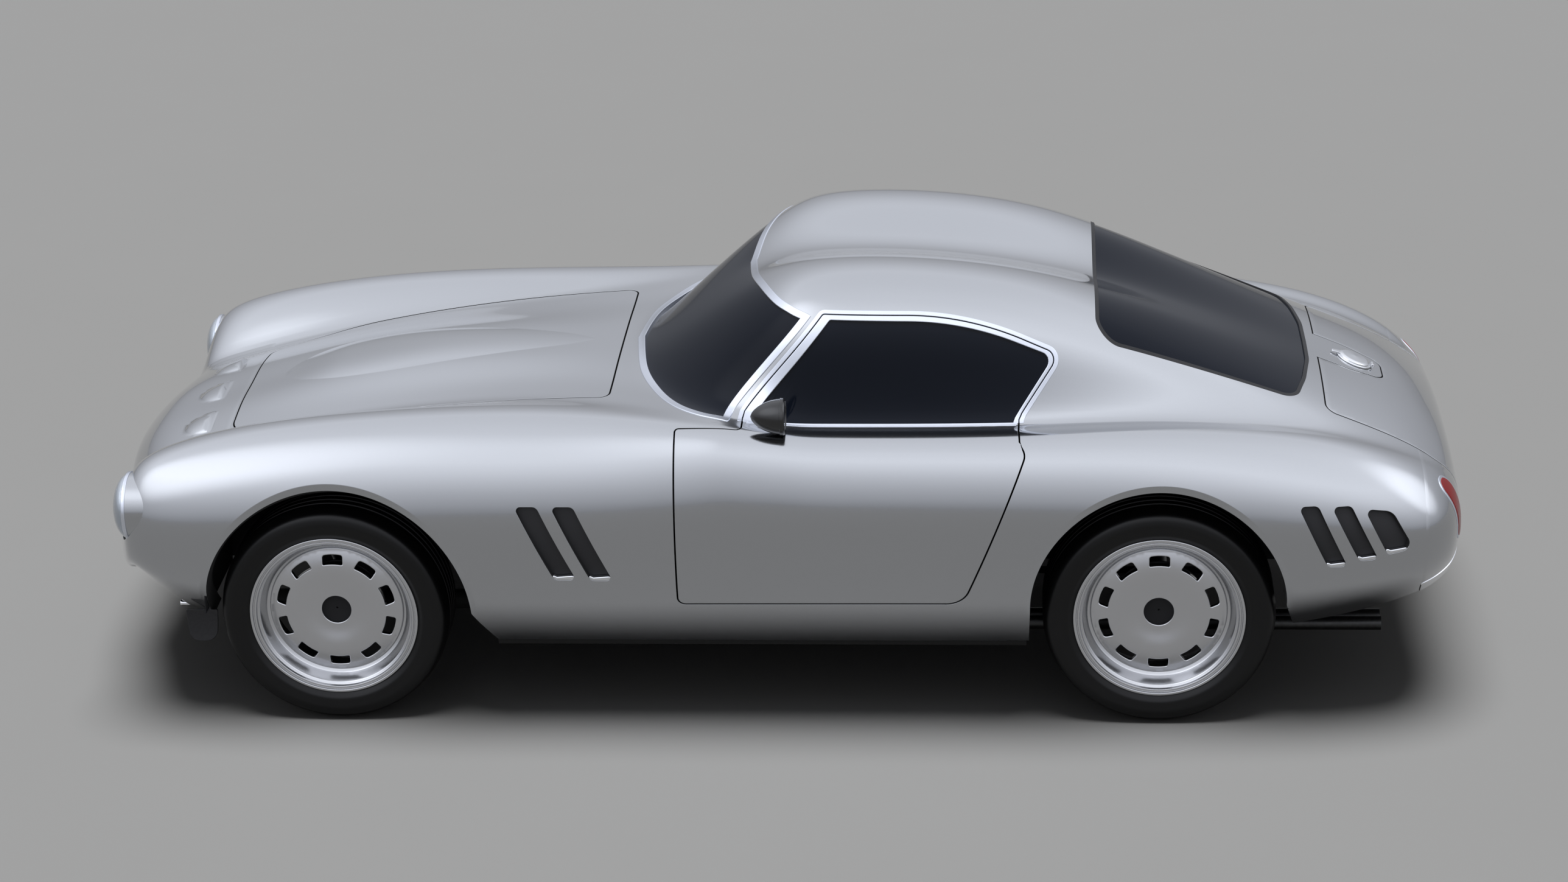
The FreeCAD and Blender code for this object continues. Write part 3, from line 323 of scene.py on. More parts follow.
OUTLINES: dict[str, tuple[Run, ...]] = {
    "door": (
        Run(View.SIDE, ((DOOR_FRONT, 850), (DOOR_FRONT, 398, 25), (1838, 401, 72),
                        (2021, 850, 26), (2008, 862)), columns=(-0.8, 3.1)),
        Run(View.PLAN, ((2002, -712), (1999, -660), (2000, -604)), columns=(2.9, 5.3)),
        Run(View.SIDE, ((2008, 912), (2116, 1066, 32), (1852, 1178, 900), (1436, 1184, 14),
                        (1208, 920)), columns=(4.9, 9.3)),
        Run(View.PLAN, ((1203, -618), (1203, -684, 14), (DOOR_FRONT, -684, 14),
                        (DOOR_FRONT, -738)), columns=(2.7, 5.2))),
    "door_glass": (
        Run(View.SIDE, ((1988, 902), (2098, 1062, 28), (1842, 1162, 900), (1456, 1170, 12),
                        (1246, 922)), columns=(4.6, 9.3)),
        Run(View.NET, ((1232, V_BELT), (1982, V_BELT)))),
    "shield_ends": (
        Run(View.PLAN, ((855, 40), (855, 0), (885, -235), (940, -400), (1005, -520),
                        (1080, -592), (1160, -628), (1215, -650)), columns=TOP_COLUMNS),
        Run(View.PLAN, ((1450, -528), (1394, -503), (1345, -472), (1298, -414),
                        (1256, -313), (1222, -177), (1204, 0), (1204, 40)),
            columns=TOP_COLUMNS)),
    "shield_sides": (
        Run(View.SIDE, ((1149, 897), (1405, 1193)), rows=(8.0, 12.0), columns=(4.4, 8.6)),),
    "rear_glass": (
        Run(View.PLAN, ((2222, 40), (2222, -478, 60), (2795, -428, 60), (2828, -300, 400),
                        (2848, -150, 400), (2850, 40)), columns=TOP_COLUMNS),),
    "hood": (
        Run(View.PLAN, ((-354, 40), (-354, -335, 75), (-80, -397, 900), (802, -452, 32),
                        (802, 40)), columns=TOP_COLUMNS),),
    "bulge": (Run(View.PLAN, ((-246, 12),) + tuple((x, -y) for x, y in BULGE)
                  + ((716, 12),), columns=TOP_COLUMNS),),
    "scoop_a": (scoop_outline(0),),
    "scoop_b": (scoop_outline(1),),
    "lid": (
        Run(View.PLAN, ((2883, 40), (2883, -433, 32), (3170, -433)), columns=TOP_COLUMNS),
        Run(View.FRONT, ((-433, 680), (-433, 520, 18), (40, 520)), rows=(16.0, 19.0),
            columns=(0.5, 9.6))),
    "tongue": (
        Run(View.PLAN, ((2790, 40), (2790, -94), (2975, -92, 120), (3080, -64, 40),
                        (3080, 40)), columns=TOP_COLUMNS),),
    **{"arch_" + end: arch.outline() for end, arch in ARCHES.items()},
    **{"crease_" + end: arch.outline(LIP_WIDTH) for end, arch in ARCHES.items()},
    **{name: (air_slot(*sizes),) for name, sizes in SLOTS.items()},
    **{name: (slot_lip(*sizes),) for name, sizes in LIPS.items()},
    "slot_e": (Run(View.SIDE, ((2970, 688, 12), (3052, 674, 45), (3118, 560, 25),
                               (3040, 550, 12)), columns=(0.0, 3.6)),),
    "lamp": (Run(View.FRONT, arc_corners(-648, 646, 100, 0, 354, 60), rows=(-0.9, 4.8),
                 columns=(0.3, 4.6)),),
    "intake": (Run(View.FRONT, ((40, 372), (-330, 372, 40), (-300, 470, 50), (40, 470)),
                   rows=(-1.0, 3.0), columns=(0.0, 9.6)),),
    "tail_lamp": (Run(View.FRONT, ((-585, 520, 22), (-515, 520, 22), (-515, 690, 30),
                                   (-585, 690, 30)), rows=(15.3, 18.0),
                      columns=(0.8, 4.4)),),
}


# ---------------------------------------------------------------------------
# The skin
# ---------------------------------------------------------------------------


@dataclass
class Skin:
    """The sheet of the whole body: one bicubic B-spline with flat ends.

    Parameters: u runs from nose to tail (0 to 18) and v from the left sill
    over the top (0 to 18, the centre line at 9).  u below 0 and above 18 is
    the flat end, drawn in to the centre; v below 0 runs straight down.
    """

    table: tuple[tuple[float, ...], ...] = STATIONS
    side_wall: float = 55.0
    roof_wall: float = 30.0
    fine: float = 15.5
    net: Array = field(init=False)
    inner_net: Array = field(init=False)
    run_u: Array = field(init=False)
    run_v: Array = field(init=False)

    def __post_init__(self) -> None:
        """Works out both nets and the length tables."""
        self.net = self._control_net()
        self.inner_net = self._inner_net()
        lengths = np.zeros((2, len(KNOTS)))
        for level in LEVELS:
            for axis in (0, 1):
                line = np.full((len(KNOTS), 2), level if axis == 0 else 2 * level)
                line[:, axis] = KNOTS
                steps = np.linalg.norm(np.diff(self.sheet(line, self.net), axis=0), axis=1)
                lengths[axis, 1:] += np.cumsum(steps) / len(LEVELS)
        pad = 240.0
        self.run_u, self.run_v = (np.hstack([-pad, run, run[-1] + pad]) for run in lengths)

    def _control_net(self) -> Array:
        """The net's points, row by row, from the left sill to the right.

        Formula: each row's named half widths and heights give eleven points,
        four of them weighted means of their neighbours; x grows by the sweep
        times the squared share of the belt's width; the left half is mirrored.
        """
        c = dict(zip(COLUMNS, np.array(self.table, float).T))
        rail, belt, sill, waist, crest = (
            np.stack([c[name + "_y"], c[name + "_z"]])
            for name in ("rail", "belt", "sill", "waist", "crest"))
        mix = np.array
        half = np.stack([
            sill, sill * mix([[0.3], [0.55]]) + waist * mix([[0.7], [0.45]]), waist,
            waist * mix([[0.88], [0.38]]) + crest * mix([[0.12], [0.62]]), crest,
            belt * mix([[0.7], [0.55]]) + crest * mix([[0.3], [0.45]]), belt,
            0.6 * belt + 0.4 * rail, rail,
            np.stack([0.52 * c["rail_y"], c["crown_z"]]),
            np.stack([0.0 * c["mid_z"], c["mid_z"]])], axis=-1)
        y, z = half[0], half[1]
        share = np.minimum(1.0, y / c["belt_y"][:, None])
        x = c["x"][:, None] + c["sweep"][:, None] * share ** 2
        left = np.stack([x, -y, z], -1)
        return np.concatenate([left, left[:, -2::-1] * [1, -1, 1]], 1)

    def _inner_net(self) -> Array:
        """The net moved inwards along its own normals by the wall."""
        last = NET_SIZE - 1
        up = np.clip(np.arange(-1, last), 0, last)
        down = np.clip(np.arange(1, last + 2), 0, last)
        normal = unit(np.cross(self.net[:, down] - self.net[:, up],
                               self.net[down] - self.net[up]))
        normal[0], normal[-1] = (1, 0, 0), (-1, 0, 0)
        column = np.minimum(np.arange(NET_SIZE), np.arange(last, -1, -1))
        wall = np.where(column < SIDE_COLUMNS, self.side_wall, self.roof_wall)
        return self.net + normal * wall[None, :, None]

    def sheet(self, uv: Array, net: Array) -> Array:
        """Points of the sheet of a net, with its flat ends and its run-outs.

        Formula: sum of the net's points times the basis in u and in v.
        Beyond u = 0 or 18 the end's y shrinks in proportion to nothing over
        one unit; below v = 0 the tangent of the edge carries on.
        """
        u, v = uv[:, 0], uv[:, 1]
        bu, bv = bspline_basis(NET_SIZE, u), bspline_basis(NET_SIZE, v)
        points = np.einsum("ni,nj,ijk->nk", bu, bv, net, optimize=True)
        low, near_edge = v < 0, 0.05
        if low.any():
            edge = bspline_basis(NET_SIZE, np.full(low.sum(), near_edge))
            near = np.einsum("ni,nj,ijk->nk", bu[low], edge, net, optimize=True)
            points[low] += (points[low] - near) * (-v[low, None] / near_edge)
        points[:, 1] *= 1.0 - np.clip(-u, 0, 1) - np.clip(u - SPAN, 0, 1)
        return points

    def relief(self, points: Array) -> Array:
        """How far the real panels stand off the plain sheet, in millimetres."""
        return hood_bulge(points) + nose_scoops(points) + arch_lips(points)

    def outer(self, uv: Array) -> Array:
        """Points of the outside in reference millimetres, relief added."""
        plain = self.sheet(uv, self.net)
        return plain + self._plain_normal(uv) * self.relief(plain)[:, None]

    def inner(self, uv: Array) -> Array:
        """Points of the inside in reference millimetres."""
        return self.sheet(uv, self.inner_net)

    def _difference(self, uv: Array, place: Callable[[Array], Array]) -> Array:
        """Unit normals by central differences of a placing function."""
        h = 0.004
        du, dv = np.array([[h, 0.0]]), np.array([[0.0, h]])
        along = place(uv + du) - place(uv - du)
        over = place(uv + dv) - place(uv - dv)
        normal = unit(np.cross(along, over))
        flat = (uv[:, 0] < h) | (uv[:, 0] > SPAN - h)
        normal[flat] = np.where(uv[flat, :1] < MIDDLE, [[-1.0, 0, 0]], [[1.0, 0, 0]])
        return normal

    def _plain_normal(self, uv: Array) -> Array:
        """Outward unit normals of the plain sheet."""
        return self._difference(uv, lambda at: self.sheet(at, self.net))

    def normal(self, uv: Array) -> Array:
        """Outward unit normals of the outside with its relief."""
        return self._difference(uv, self.outer)

    def to_flat(self, uv: Array) -> Array:
        """Net parameters as flat millimetres, for even triangles."""
        return np.stack([np.interp(uv[:, 0], MARKS, self.run_u),
                         np.interp(uv[:, 1], MARKS, self.run_v)], 1)

    def from_flat(self, flat: Array) -> Array:
        """Flat millimetres back to net parameters."""
        return np.stack([np.interp(flat[:, 0], self.run_u, MARKS),
                         np.interp(flat[:, 1], self.run_v, MARKS)], 1)

    def locate(self, run: Run, targets: Array) -> Array:
        """Net parameters of the points of a run.

        Formula: from the nearest of a grid of samples, Newton's method on
        the two coordinates that the run's view keeps.

        Args:
            run: The run, which gives the view and the part of the skin.
            targets: Array (n, 2) in that view.

        Returns:
            Array (n, 2) of u and v.
        """
        a = np.linspace(*run.rows, int((run.rows[1] - run.rows[0]) * 8) + 1)
        b = np.linspace(*run.columns, int((run.columns[1] - run.columns[0]) * 8) + 1)
        grid = np.stack(np.meshgrid(a, b, indexing="ij"), -1).reshape(-1, 2)
        i, j = run.view.value

        def seen(at: Array) -> Array:
            """The two values that the view keeps, for net parameters."""
            full = np.hstack([self.sheet(at, self.net), at[:, 1:]])
            return full[:, (i, j)]

        weight = np.array([1.0, MM_PER_V if run.view is View.NET else 1.0])
        samples = seen(grid)
        far = (((targets[:, None] - samples[None]) * weight) ** 2).sum(-1)
        uv = grid[far.argmin(1)].copy()
        h = 1e-4
        for _ in range(14):
            miss = seen(uv) - targets
            fu = (seen(uv + [h, 0]) - seen(uv - [h, 0])) / (2 * h)
            fv = (seen(uv + [0, h]) - seen(uv - [0, h])) / (2 * h)
            det = fu[:, 0] * fv[:, 1] - fu[:, 1] * fv[:, 0]
            det = np.where(np.abs(det) < 1e-6, 1e-6, det)
            du = (miss[:, 0] * fv[:, 1] - miss[:, 1] * fv[:, 0]) / det
            dv = (fu[:, 0] * miss[:, 1] - fu[:, 1] * miss[:, 0]) / det
            uv -= np.clip(np.stack([du, dv], 1), -0.25, 0.25)
            uv[:, 0] = np.clip(uv[:, 0], *run.rows)
            uv[:, 1] = np.clip(uv[:, 1], *run.columns)
        return uv

    def outline(self, name: str) -> Array:
        """Net parameters round a named outline, runs joined end to end."""
        runs = OUTLINES[name]
        closed = len(runs) == 1 and len(runs[0].corners) > 3 and name not in OPEN
        parts = []
        for run in runs:
            if name in CURVED:
                targets = curve_through(run.corners, 8)
            else:
                targets = run.points(closed and abs(run.corners[0][1] - 40) > 1)
            parts.append(self.locate(run, targets))
        return np.vstack(parts)

    def moved(self, uv: Array, distance: float, closed: bool,
              closer: Optional[Array] = None) -> Array:
        """An outline moved outwards on the skin itself by a distance.

        Formula: at each point the mean of the two side directions of its
        neighbouring steps, in the tangent plane, divided by the cosine of
        half their turn; the step in u and v is found from the two tangents.
        Points that come nearer to the outline than the distance are left out.
        """
        if distance == 0:
            return uv
        spots, normal = self.sheet(uv, self.net), self._plain_normal(uv)
        before, after = np.roll(spots, 1, 0), np.roll(spots, -1, 0)
        if not closed:
            before[0], after[-1] = 2 * spots[0] - spots[1], 2 * spots[-1] - spots[-2]
        side0 = unit(np.cross(normal, unit(spots - before)))
        side1 = unit(np.cross(normal, unit(after - spots)))
        mean = unit(side0 + side1)
        flat = self.to_flat(uv if closer is None else np.vstack([uv, closer]))
        area = (flat[:, 0] * np.roll(flat[:, 1], -1) - np.roll(flat[:, 0], -1) * flat[:, 1]).sum()
        step = -np.sign(area) * distance * mean / np.maximum(
            (mean * side1).sum(1, keepdims=True), 0.5)
        h = 0.01
        fu = (self.sheet(uv + [h, 0], self.net) - self.sheet(uv - [h, 0], self.net)) / (2 * h)
        fv = (self.sheet(uv + [0, h], self.net) - self.sheet(uv - [0, h], self.net)) / (2 * h)
        a, b, c = (fu * fu).sum(1), (fu * fv).sum(1), (fv * fv).sum(1)
        p, q = (fu * step).sum(1), (fv * step).sum(1)
        det = np.maximum(a * c - b * b, 1e-9)
        shift = np.stack([(p * c - q * b) / det, (a * q - b * p) / det], 1)
        out = uv + np.clip(shift, -0.4, 0.4)
        gaps = np.linalg.norm(self.sheet(out, self.net)[:, None] - spots[None], axis=-1).min(1)
        return out[gaps > 0.93 * abs(distance)]


def hood_bulge(points: Array) -> Array:
    """The raised teardrop of the hood in millimetres.

    Formula: 15 mm times one less the square of the share of the half width,
    so the foot is a crease and the top is round; the half width follows a
    smooth line along the car and the height fades to both ends.
    """
    line = curve_through(BULGE, 12)
    x, y, z = points.T
    width = np.maximum(np.interp(x, line[:, 0], line[:, 1]), 1.0)
    height = RELIEF * smooth_step((x + 262) / 210) * smooth_step((740 - x) / 560)
    dome = np.maximum(0.0, 1.0 - (y / width) ** 2)
    return height * dome * (z > RELIEF_FLOOR) * (x > BULGE[0][0]) * (x < BULGE[-1][0])


def nose_scoops(points: Array) -> Array:
    """The three domes of the nose in millimetres.

    Formula: 15 mm times the root of one less the squared distance from the
    middle of the straight rear edge, in shares of the half axes; the rear
    edge drops within 2 mm.
    """
    x, y, z = points.T
    lift = np.zeros(len(points))
    for back, centre, half, reach in SCOOPS:
        share = ((back - x) / reach) ** 2 + ((np.abs(y) - abs(centre)) / half) ** 2
        dome = np.maximum(0.0, 1.0 - share) ** 0.7
        lift += RELIEF * dome * smooth_step((back - x) / 2.0) * (z > RELIEF_FLOOR)
    return lift


def arch_lips(points: Array) -> Array:
    """The upright flange round each wheel opening, in millimetres.

    Formula: within LIP_WIDTH of the opening's round top the skin falls back
    in a straight ramp, so that the flange stands nearly upright; the ramp
    fades out below the wheel's centre height.
    """
    x, y, z = points.T
    lift = np.zeros(len(points))
    for arch in ARCHES.values():
        away = np.hypot(x - arch.x, z - arch.z) - arch.radius
        ramp = np.clip((LIP_WIDTH - away) / LIP_WIDTH, 0, 1.2) * (away > -60)
        lift -= LIP_DEPTH * ramp * smooth_step((z - arch.z + 40) / 160) * (np.abs(y) > 560)
    return lift


@dataclass
class Arrangement:
    """One triangulation of the left half of the skin that holds every outline."""

    skin: Skin
    rings: dict[str, Array] = field(default_factory=dict)
    closed: dict[str, bool] = field(default_factory=dict)
    uv: Array = field(init=False)
    tris: Array = field(init=False)
    middle: Array = field(init=False)

    def add(self, name: str, distances: Sequence[float]) -> None:
        """Adds an outline at the given distances outwards, as name+distance."""
        base = self.skin.outline(name)
        wraps = name not in OPEN and bool(base[:, 1].max() < MIDDLE - 0.1)
        for distance in distances:
            key = "%s%+g" % (name, distance)
            self.rings[key] = self.skin.moved(base, distance, wraps, CLOSERS.get(name))
            self.closed[key] = wraps

    def build(self, lines_u: Sequence[float], lines_v: Sequence[float]) -> None:
        """Triangulates the grid and the outlines together.

        Formula: a constrained Delaunay triangulation of even grid points
        and outline points in flat millimetres; triangles outside the left
        half are dropped.

        Args:
            lines_u: Values of u to keep as lines, where panels are split.
            lines_v: Values of v to keep as lines.
        """
        skin, fine = self.skin, self.skin.fine
        lo, hi = skin.to_flat(np.array([[-1.0, 0.0], [SPAN + 1, MIDDLE]]))
        marks = [skin.to_flat(np.array([[u, 0.0] for u in lines_u]))[:, 0],
                 skin.to_flat(np.array([[0.0, v] for v in lines_v]))[:, 1]]
        lines = [spaced(np.hstack([lo[k], marks[k], hi[k]]), fine) for k in (0, 1)]
        grid = np.stack(np.meshgrid(*lines, indexing="ij"), -1)
        shape = grid.shape[:2]
        index = np.arange(shape[0] * shape[1]).reshape(shape)
        held = np.zeros(shape, bool)
        held[:, (0, -1)] = True
        held[(0, -1), :] = True
        chains = [index[:, 0], index[:, -1]]
        for k in (0, 1):
            for mark in marks[k]:
                at = np.abs(lines[k] - mark).argmin()
                np.moveaxis(held, k, 0)[at] = True
                chains.append(np.moveaxis(index, k, 0)[at])
        loops = [(skin.to_flat(uv), self.closed[key]) for key, uv in self.rings.items()]
        points = np.vstack([flat for flat, _ in loops])
        flat_grid = grid.reshape(-1, 2)
        near = np.full(len(flat_grid), 1e9)
        batch, clear = 400, 0.42 * fine
        for start in range(0, len(points), batch):
            part = points[start:start + batch]
            gap = ((flat_grid[:, None] - part[None]) ** 2).sum(-1).min(1)
            near = np.minimum(near, gap)
        use = (near > clear ** 2) | held.ravel()
        renumber = np.cumsum(use) - 1
        all_points = [flat_grid[use]]
        pairs = []
        for chain in chains:
            kept = renumber[chain]
            pairs.append(np.stack([kept[:-1], kept[1:]], 1))
        offset = int(use.sum())
        for flat, wraps in loops:
            ids = np.arange(len(flat)) + offset
            pairs.append(np.stack([ids[:-1], ids[1:]], 1))
            if wraps:
                pairs.append(np.array([[ids[-1], ids[0]]]))
            all_points.append(flat)
            offset += len(flat)
        spots = np.vstack(all_points)
        result = delaunay_2d_cdt([Vector(p) for p in spots.tolist()],
                                 np.vstack(pairs).tolist(), [], 0, 0.02, False)
        flat = np.array([tuple(v) for v in result[0]])
        tris = np.array(result[2])
        uv = skin.from_flat(flat)
        corners = flat[tris]
        area = np.cross(corners[:, 1] - corners[:, 0], corners[:, 2] - corners[:, 0])
        tris[area < 0] = tris[area < 0][:, ::-1]
        middle = skin.from_flat(corners.mean(1))
        keep = ((middle[:, 1] > 0) & (middle[:, 1] < MIDDLE) & (np.abs(area) > 0.05)
                & (middle[:, 0] > -1) & (middle[:, 0] < SPAN + 1))
        self.uv, self.tris, self.middle = uv, tris[keep], middle[keep]
        LOG.info("skin: %d points, %d triangles", len(uv), len(self.tris))

    def within(self, key: str) -> Array:
        """Which triangles lie inside an outline, as a mask."""
        ring = self.rings[key]
        closer = CLOSERS.get(key.split("+")[0].split("-")[0])
        if closer is not None:
            ring = np.vstack([ring, closer])
        mask = np.zeros(len(self.middle), bool)
        low, high = ring.min(0) - 0.01, ring.max(0) + 0.01
        box = ((self.middle >= low) & (self.middle <= high)).all(1)
        mask[box] = inside(self.skin.to_flat(ring), *self.skin.to_flat(self.middle[box]).T)
        return mask


@dataclass
class Mesh:
    """Points in metres with faces, the normal of each corner and a finish number."""

    points: Array
    faces: list[Array]
    normals: list[Array]
    kinds: list[int]

    def mirrored(self) -> "Mesh":
        """The mesh on the other side of the car's middle plane."""
        return Mesh(self.points * [1, -1, 1], [f[:, ::-1] for f in self.faces],
                    [(m * [1, -1, 1])[:, ::-1] for m in self.normals], self.kinds)

    def placed(self, turn: Array, shift: Sequence[float]) -> "Mesh":
        """The mesh turned by a matrix and then moved."""
        return Mesh(self.points @ turn.T + np.asarray(shift), self.faces,
                    [m @ turn.T for m in self.normals], self.kinds)


def joined(parts: Sequence[Mesh]) -> Mesh:
    """Several meshes as one, with equal points merged and unused ones dropped."""
    offsets = np.cumsum([0] + [len(p.points) for p in parts])
    faces = [f + k for p, k in zip(parts, offsets) for f in p.faces]
    points = np.vstack([p.points for p in parts])
    used = np.unique(np.concatenate([f.ravel() for f in faces]))
    _, first, back = np.unique(np.round(points[used], 6), axis=0, return_index=True,
                               return_inverse=True)
    number = np.zeros(len(points), int)
    number[used] = back.ravel()
    return Mesh(points[used][first], [number[f] for f in faces],
                [m for p in parts for m in p.normals], [k for p in parts for k in p.kinds])


def shelled(top: Array, normal: Array, under: Array, tris: Array, wall: Array,
            rolled: Array, roll: float, shift: Optional[Array] = None) -> Mesh:
    """A closed plate between two sheets of the same triangles.

    Formula: from each edge of the top a quarter circle of radius roll turns
    down, a straight wall runs to the foot, and the under sheet closes it.

    Args:
        top: Outer points (n, 3) in reference millimetres.
        normal: Outward unit normals (n, 3).
        under: Inner points (n, 3).
        tris: Triangles over the points.
        wall: Directed edges that get a wall.
        rolled: Which points get the full roll.
        roll: Radius of the rolled edge.
        shift: Extra movement of each point's foot, or None.

    Returns:
        The mesh, with kind 0 for the outside and 1 for the wall and inside.
    """
    run = unit(top[wall[:, 1]] - top[wall[:, 0]])
    sideways = np.cross(run, normal[wall[:, 0]] + normal[wall[:, 1]])
    out = np.zeros_like(top)
    np.add.at(out, wall[:, 0], sideways)
    np.add.at(out, wall[:, 1], sideways)
    ids = np.unique(wall)
    slot_of = np.full(len(top), -1)
    slot_of[ids] = np.arange(len(ids))
    on_middle = np.abs(top[ids, 1]) < 1e-3
    out[ids[on_middle], 1] = 0
    out = unit(out)
    n, o = normal[ids], out[ids]
    r = np.where(rolled[ids], roll, 0.02)[:, None]
    rings, ring_normals = [], []
    for angle in (0.0, math.pi / 6, math.pi / 3, math.pi / 2):
        rings.append(top[ids] + o * r * math.sin(angle) - n * r * (1 - math.cos(angle)))
        ring_normals.append(unit(n * math.cos(angle) + o * math.sin(angle)))
    foot = under[ids] + o * r
    if shift is not None:
        foot = foot + shift[ids]
    rings.append(foot)
    ring_normals.append(ring_normals[-1])
    count, edge = len(top), len(ids)
    starts = [0] + [count + k * edge for k in range(len(rings) - 1)]
    faces, normals, kinds = [tris], [normal[tris]], [0]
    a, b = slot_of[wall[:, 0]], slot_of[wall[:, 1]]
    for k in range(len(rings) - 1):
        high_a, high_b = (ids[a], ids[b]) if k == 0 else (starts[k] + a, starts[k] + b)
        low_a, low_b = starts[k + 1] + a, starts[k + 1] + b
        faces.append(np.stack([high_a, low_a, low_b, high_b], 1))
        p, q = ring_normals[k], ring_normals[k + 1]
        normals.append(np.stack([p[a], q[a], q[b], p[b]], 1))
        kinds.append(0 if k < 3 else 1)
    inner = np.arange(count) + starts[-1] + edge
    inner[ids] = starts[-1] + np.arange(edge)
    faces.append(inner[tris[:, ::-1]])
    normals.append(-normal[tris[:, ::-1]])
    kinds.append(1)
    return Mesh(np.vstack([top] + rings[1:] + [under]), faces, normals, kinds)


@dataclass(frozen=True)
class Sheet:
    """How a region of the skin becomes a closed piece."""

    top: float = 0.0
    bottom: Optional[float] = None
    roll: float = 0.7
    door_edge: bool = False

    def cut(self, field_: Arrangement, mask: Array, group: Array, side: int) -> Mesh:
        """One half of a piece.

        Formula: the outside is the region's triangles moved by top along the
        normals; the inside is the skin's inner sheet, or the outside moved
        down to bottom.

        Args:
            field_: The triangulated half skin.
            mask: The triangles of the region.
            group: Triangles of the whole group; edges between two of them
                get no roll, so that the joint does not show.
            side: -1 for the left half, 1 for its mirror image.

        Returns:
            The mesh in metres.
        """
        skin = field_.skin
        tris = field_.tris[mask]
        used, local = np.unique(tris, return_inverse=True)
        tris = local.reshape(-1, 3)
        uv = np.clip(field_.uv[used], [-1, 0], [SPAN + 1, MIDDLE])
        base, normal = skin.outer(uv), skin.normal(uv)
        on_middle = np.abs(uv[:, 1] - MIDDLE) < 1e-4
        normal[on_middle, 1] = 0
        normal = unit(normal)
        base[on_middle, 1] = 0
        under = skin.inner(uv) if self.bottom is None else base + normal * self.bottom
        under[on_middle, 1] = 0
        edge = boundary_edges(tris)
        whole = boundary_edges(field_.tris[group])
        size = len(field_.uv)
        whole_keys = np.sort(whole, 1) @ np.array([size, 1])
        is_open = np.isin(np.sort(used[edge], 1) @ np.array([size, 1]), whole_keys)
        middle = on_middle[edge].all(1)
        rolled = np.zeros(len(base), bool)
        rolled[edge[is_open & ~middle].ravel()] = True
        shift = None
        if self.door_edge:
            shift = np.zeros_like(base)
            behind = (np.abs(base[:, 0] - DOOR_FRONT) < 4) & (base[:, 2] > 400)
            shift[behind, 0] = -DOOR_EDGE_DEPTH
        mesh = shelled(base + normal * self.top, normal, under, tris, edge[~middle],
                       rolled, self.roll, shift)
        mesh.points = to_metres(mesh.points)
        return mesh if side < 0 else mesh.mirrored()


def spaced(marks: Array, step: float) -> Array:
    """Even values between each two sorted marks, no further apart than step."""
    marks = np.unique(np.round(marks, 6))
    spans = [np.linspace(a, b, max(1, math.ceil((b - a) / step)) + 1)[:-1]
             for a, b in zip(marks[:-1], marks[1:])]
    return np.hstack(spans + [marks[-1:]])


def boundary_edges(tris: Array) -> Array:
    """Directed edges that only one triangle uses."""
    edges = tris[:, [0, 1, 1, 2, 2, 0]].reshape(-1, 2)
    key = np.sort(edges, 1)
    _, back, count = np.unique(key, axis=0, return_inverse=True, return_counts=True)
    return edges[count[back.ravel()] == 1]


def to_metres(points: Array) -> Array:
    """Reference millimetres to metres in the frame of the car."""
    return points * MM + np.array([FRONT_AXLE, 0.0, 0.0])


def make_object(name: str, mesh: Mesh) -> bpy.types.Object:
    """A mesh object from whole arrays, at the origin and in the scene."""
    data = bpy.data.meshes.new(name)
    sizes = np.concatenate([np.full(len(f), f.shape[1]) for f in mesh.faces])
    corners = np.concatenate([f.ravel() for f in mesh.faces])
    kinds = np.concatenate([np.full(len(f), k) for f, k in zip(mesh.faces, mesh.kinds)])
    data.vertices.add(len(mesh.points))
    data.vertices.foreach_set("co", np.ascontiguousarray(mesh.points, np.float32).ravel())
    data.loops.add(len(corners))
    data.loops.foreach_set("vertex_index", corners.astype(np.int32))
    data.polygons.add(len(sizes))
    starts = np.concatenate([[0], np.cumsum(sizes)[:-1]])
    data.polygons.foreach_set("loop_start", starts.astype(np.int32))
    data.polygons.foreach_set("loop_total", sizes.astype(np.int32))
    data.polygons.foreach_set("use_smooth", np.ones(len(sizes), bool))
    data.polygons.foreach_set("material_index", kinds.astype(np.int32))
    data.update(calc_edges=True)
    data.validate()
    if len(data.loops) == len(corners):
        flat = np.concatenate([m.reshape(-1, 3) for m in mesh.normals])
        data.normals_split_custom_set(unit(flat).tolist())
    else:
        LOG.warning("%s: %d corners lost", name, len(corners) - len(data.loops))
    piece = bpy.data.objects.new(name, data)
    bpy.context.scene.collection.objects.link(piece)
    return piece


CREASE = 38.0


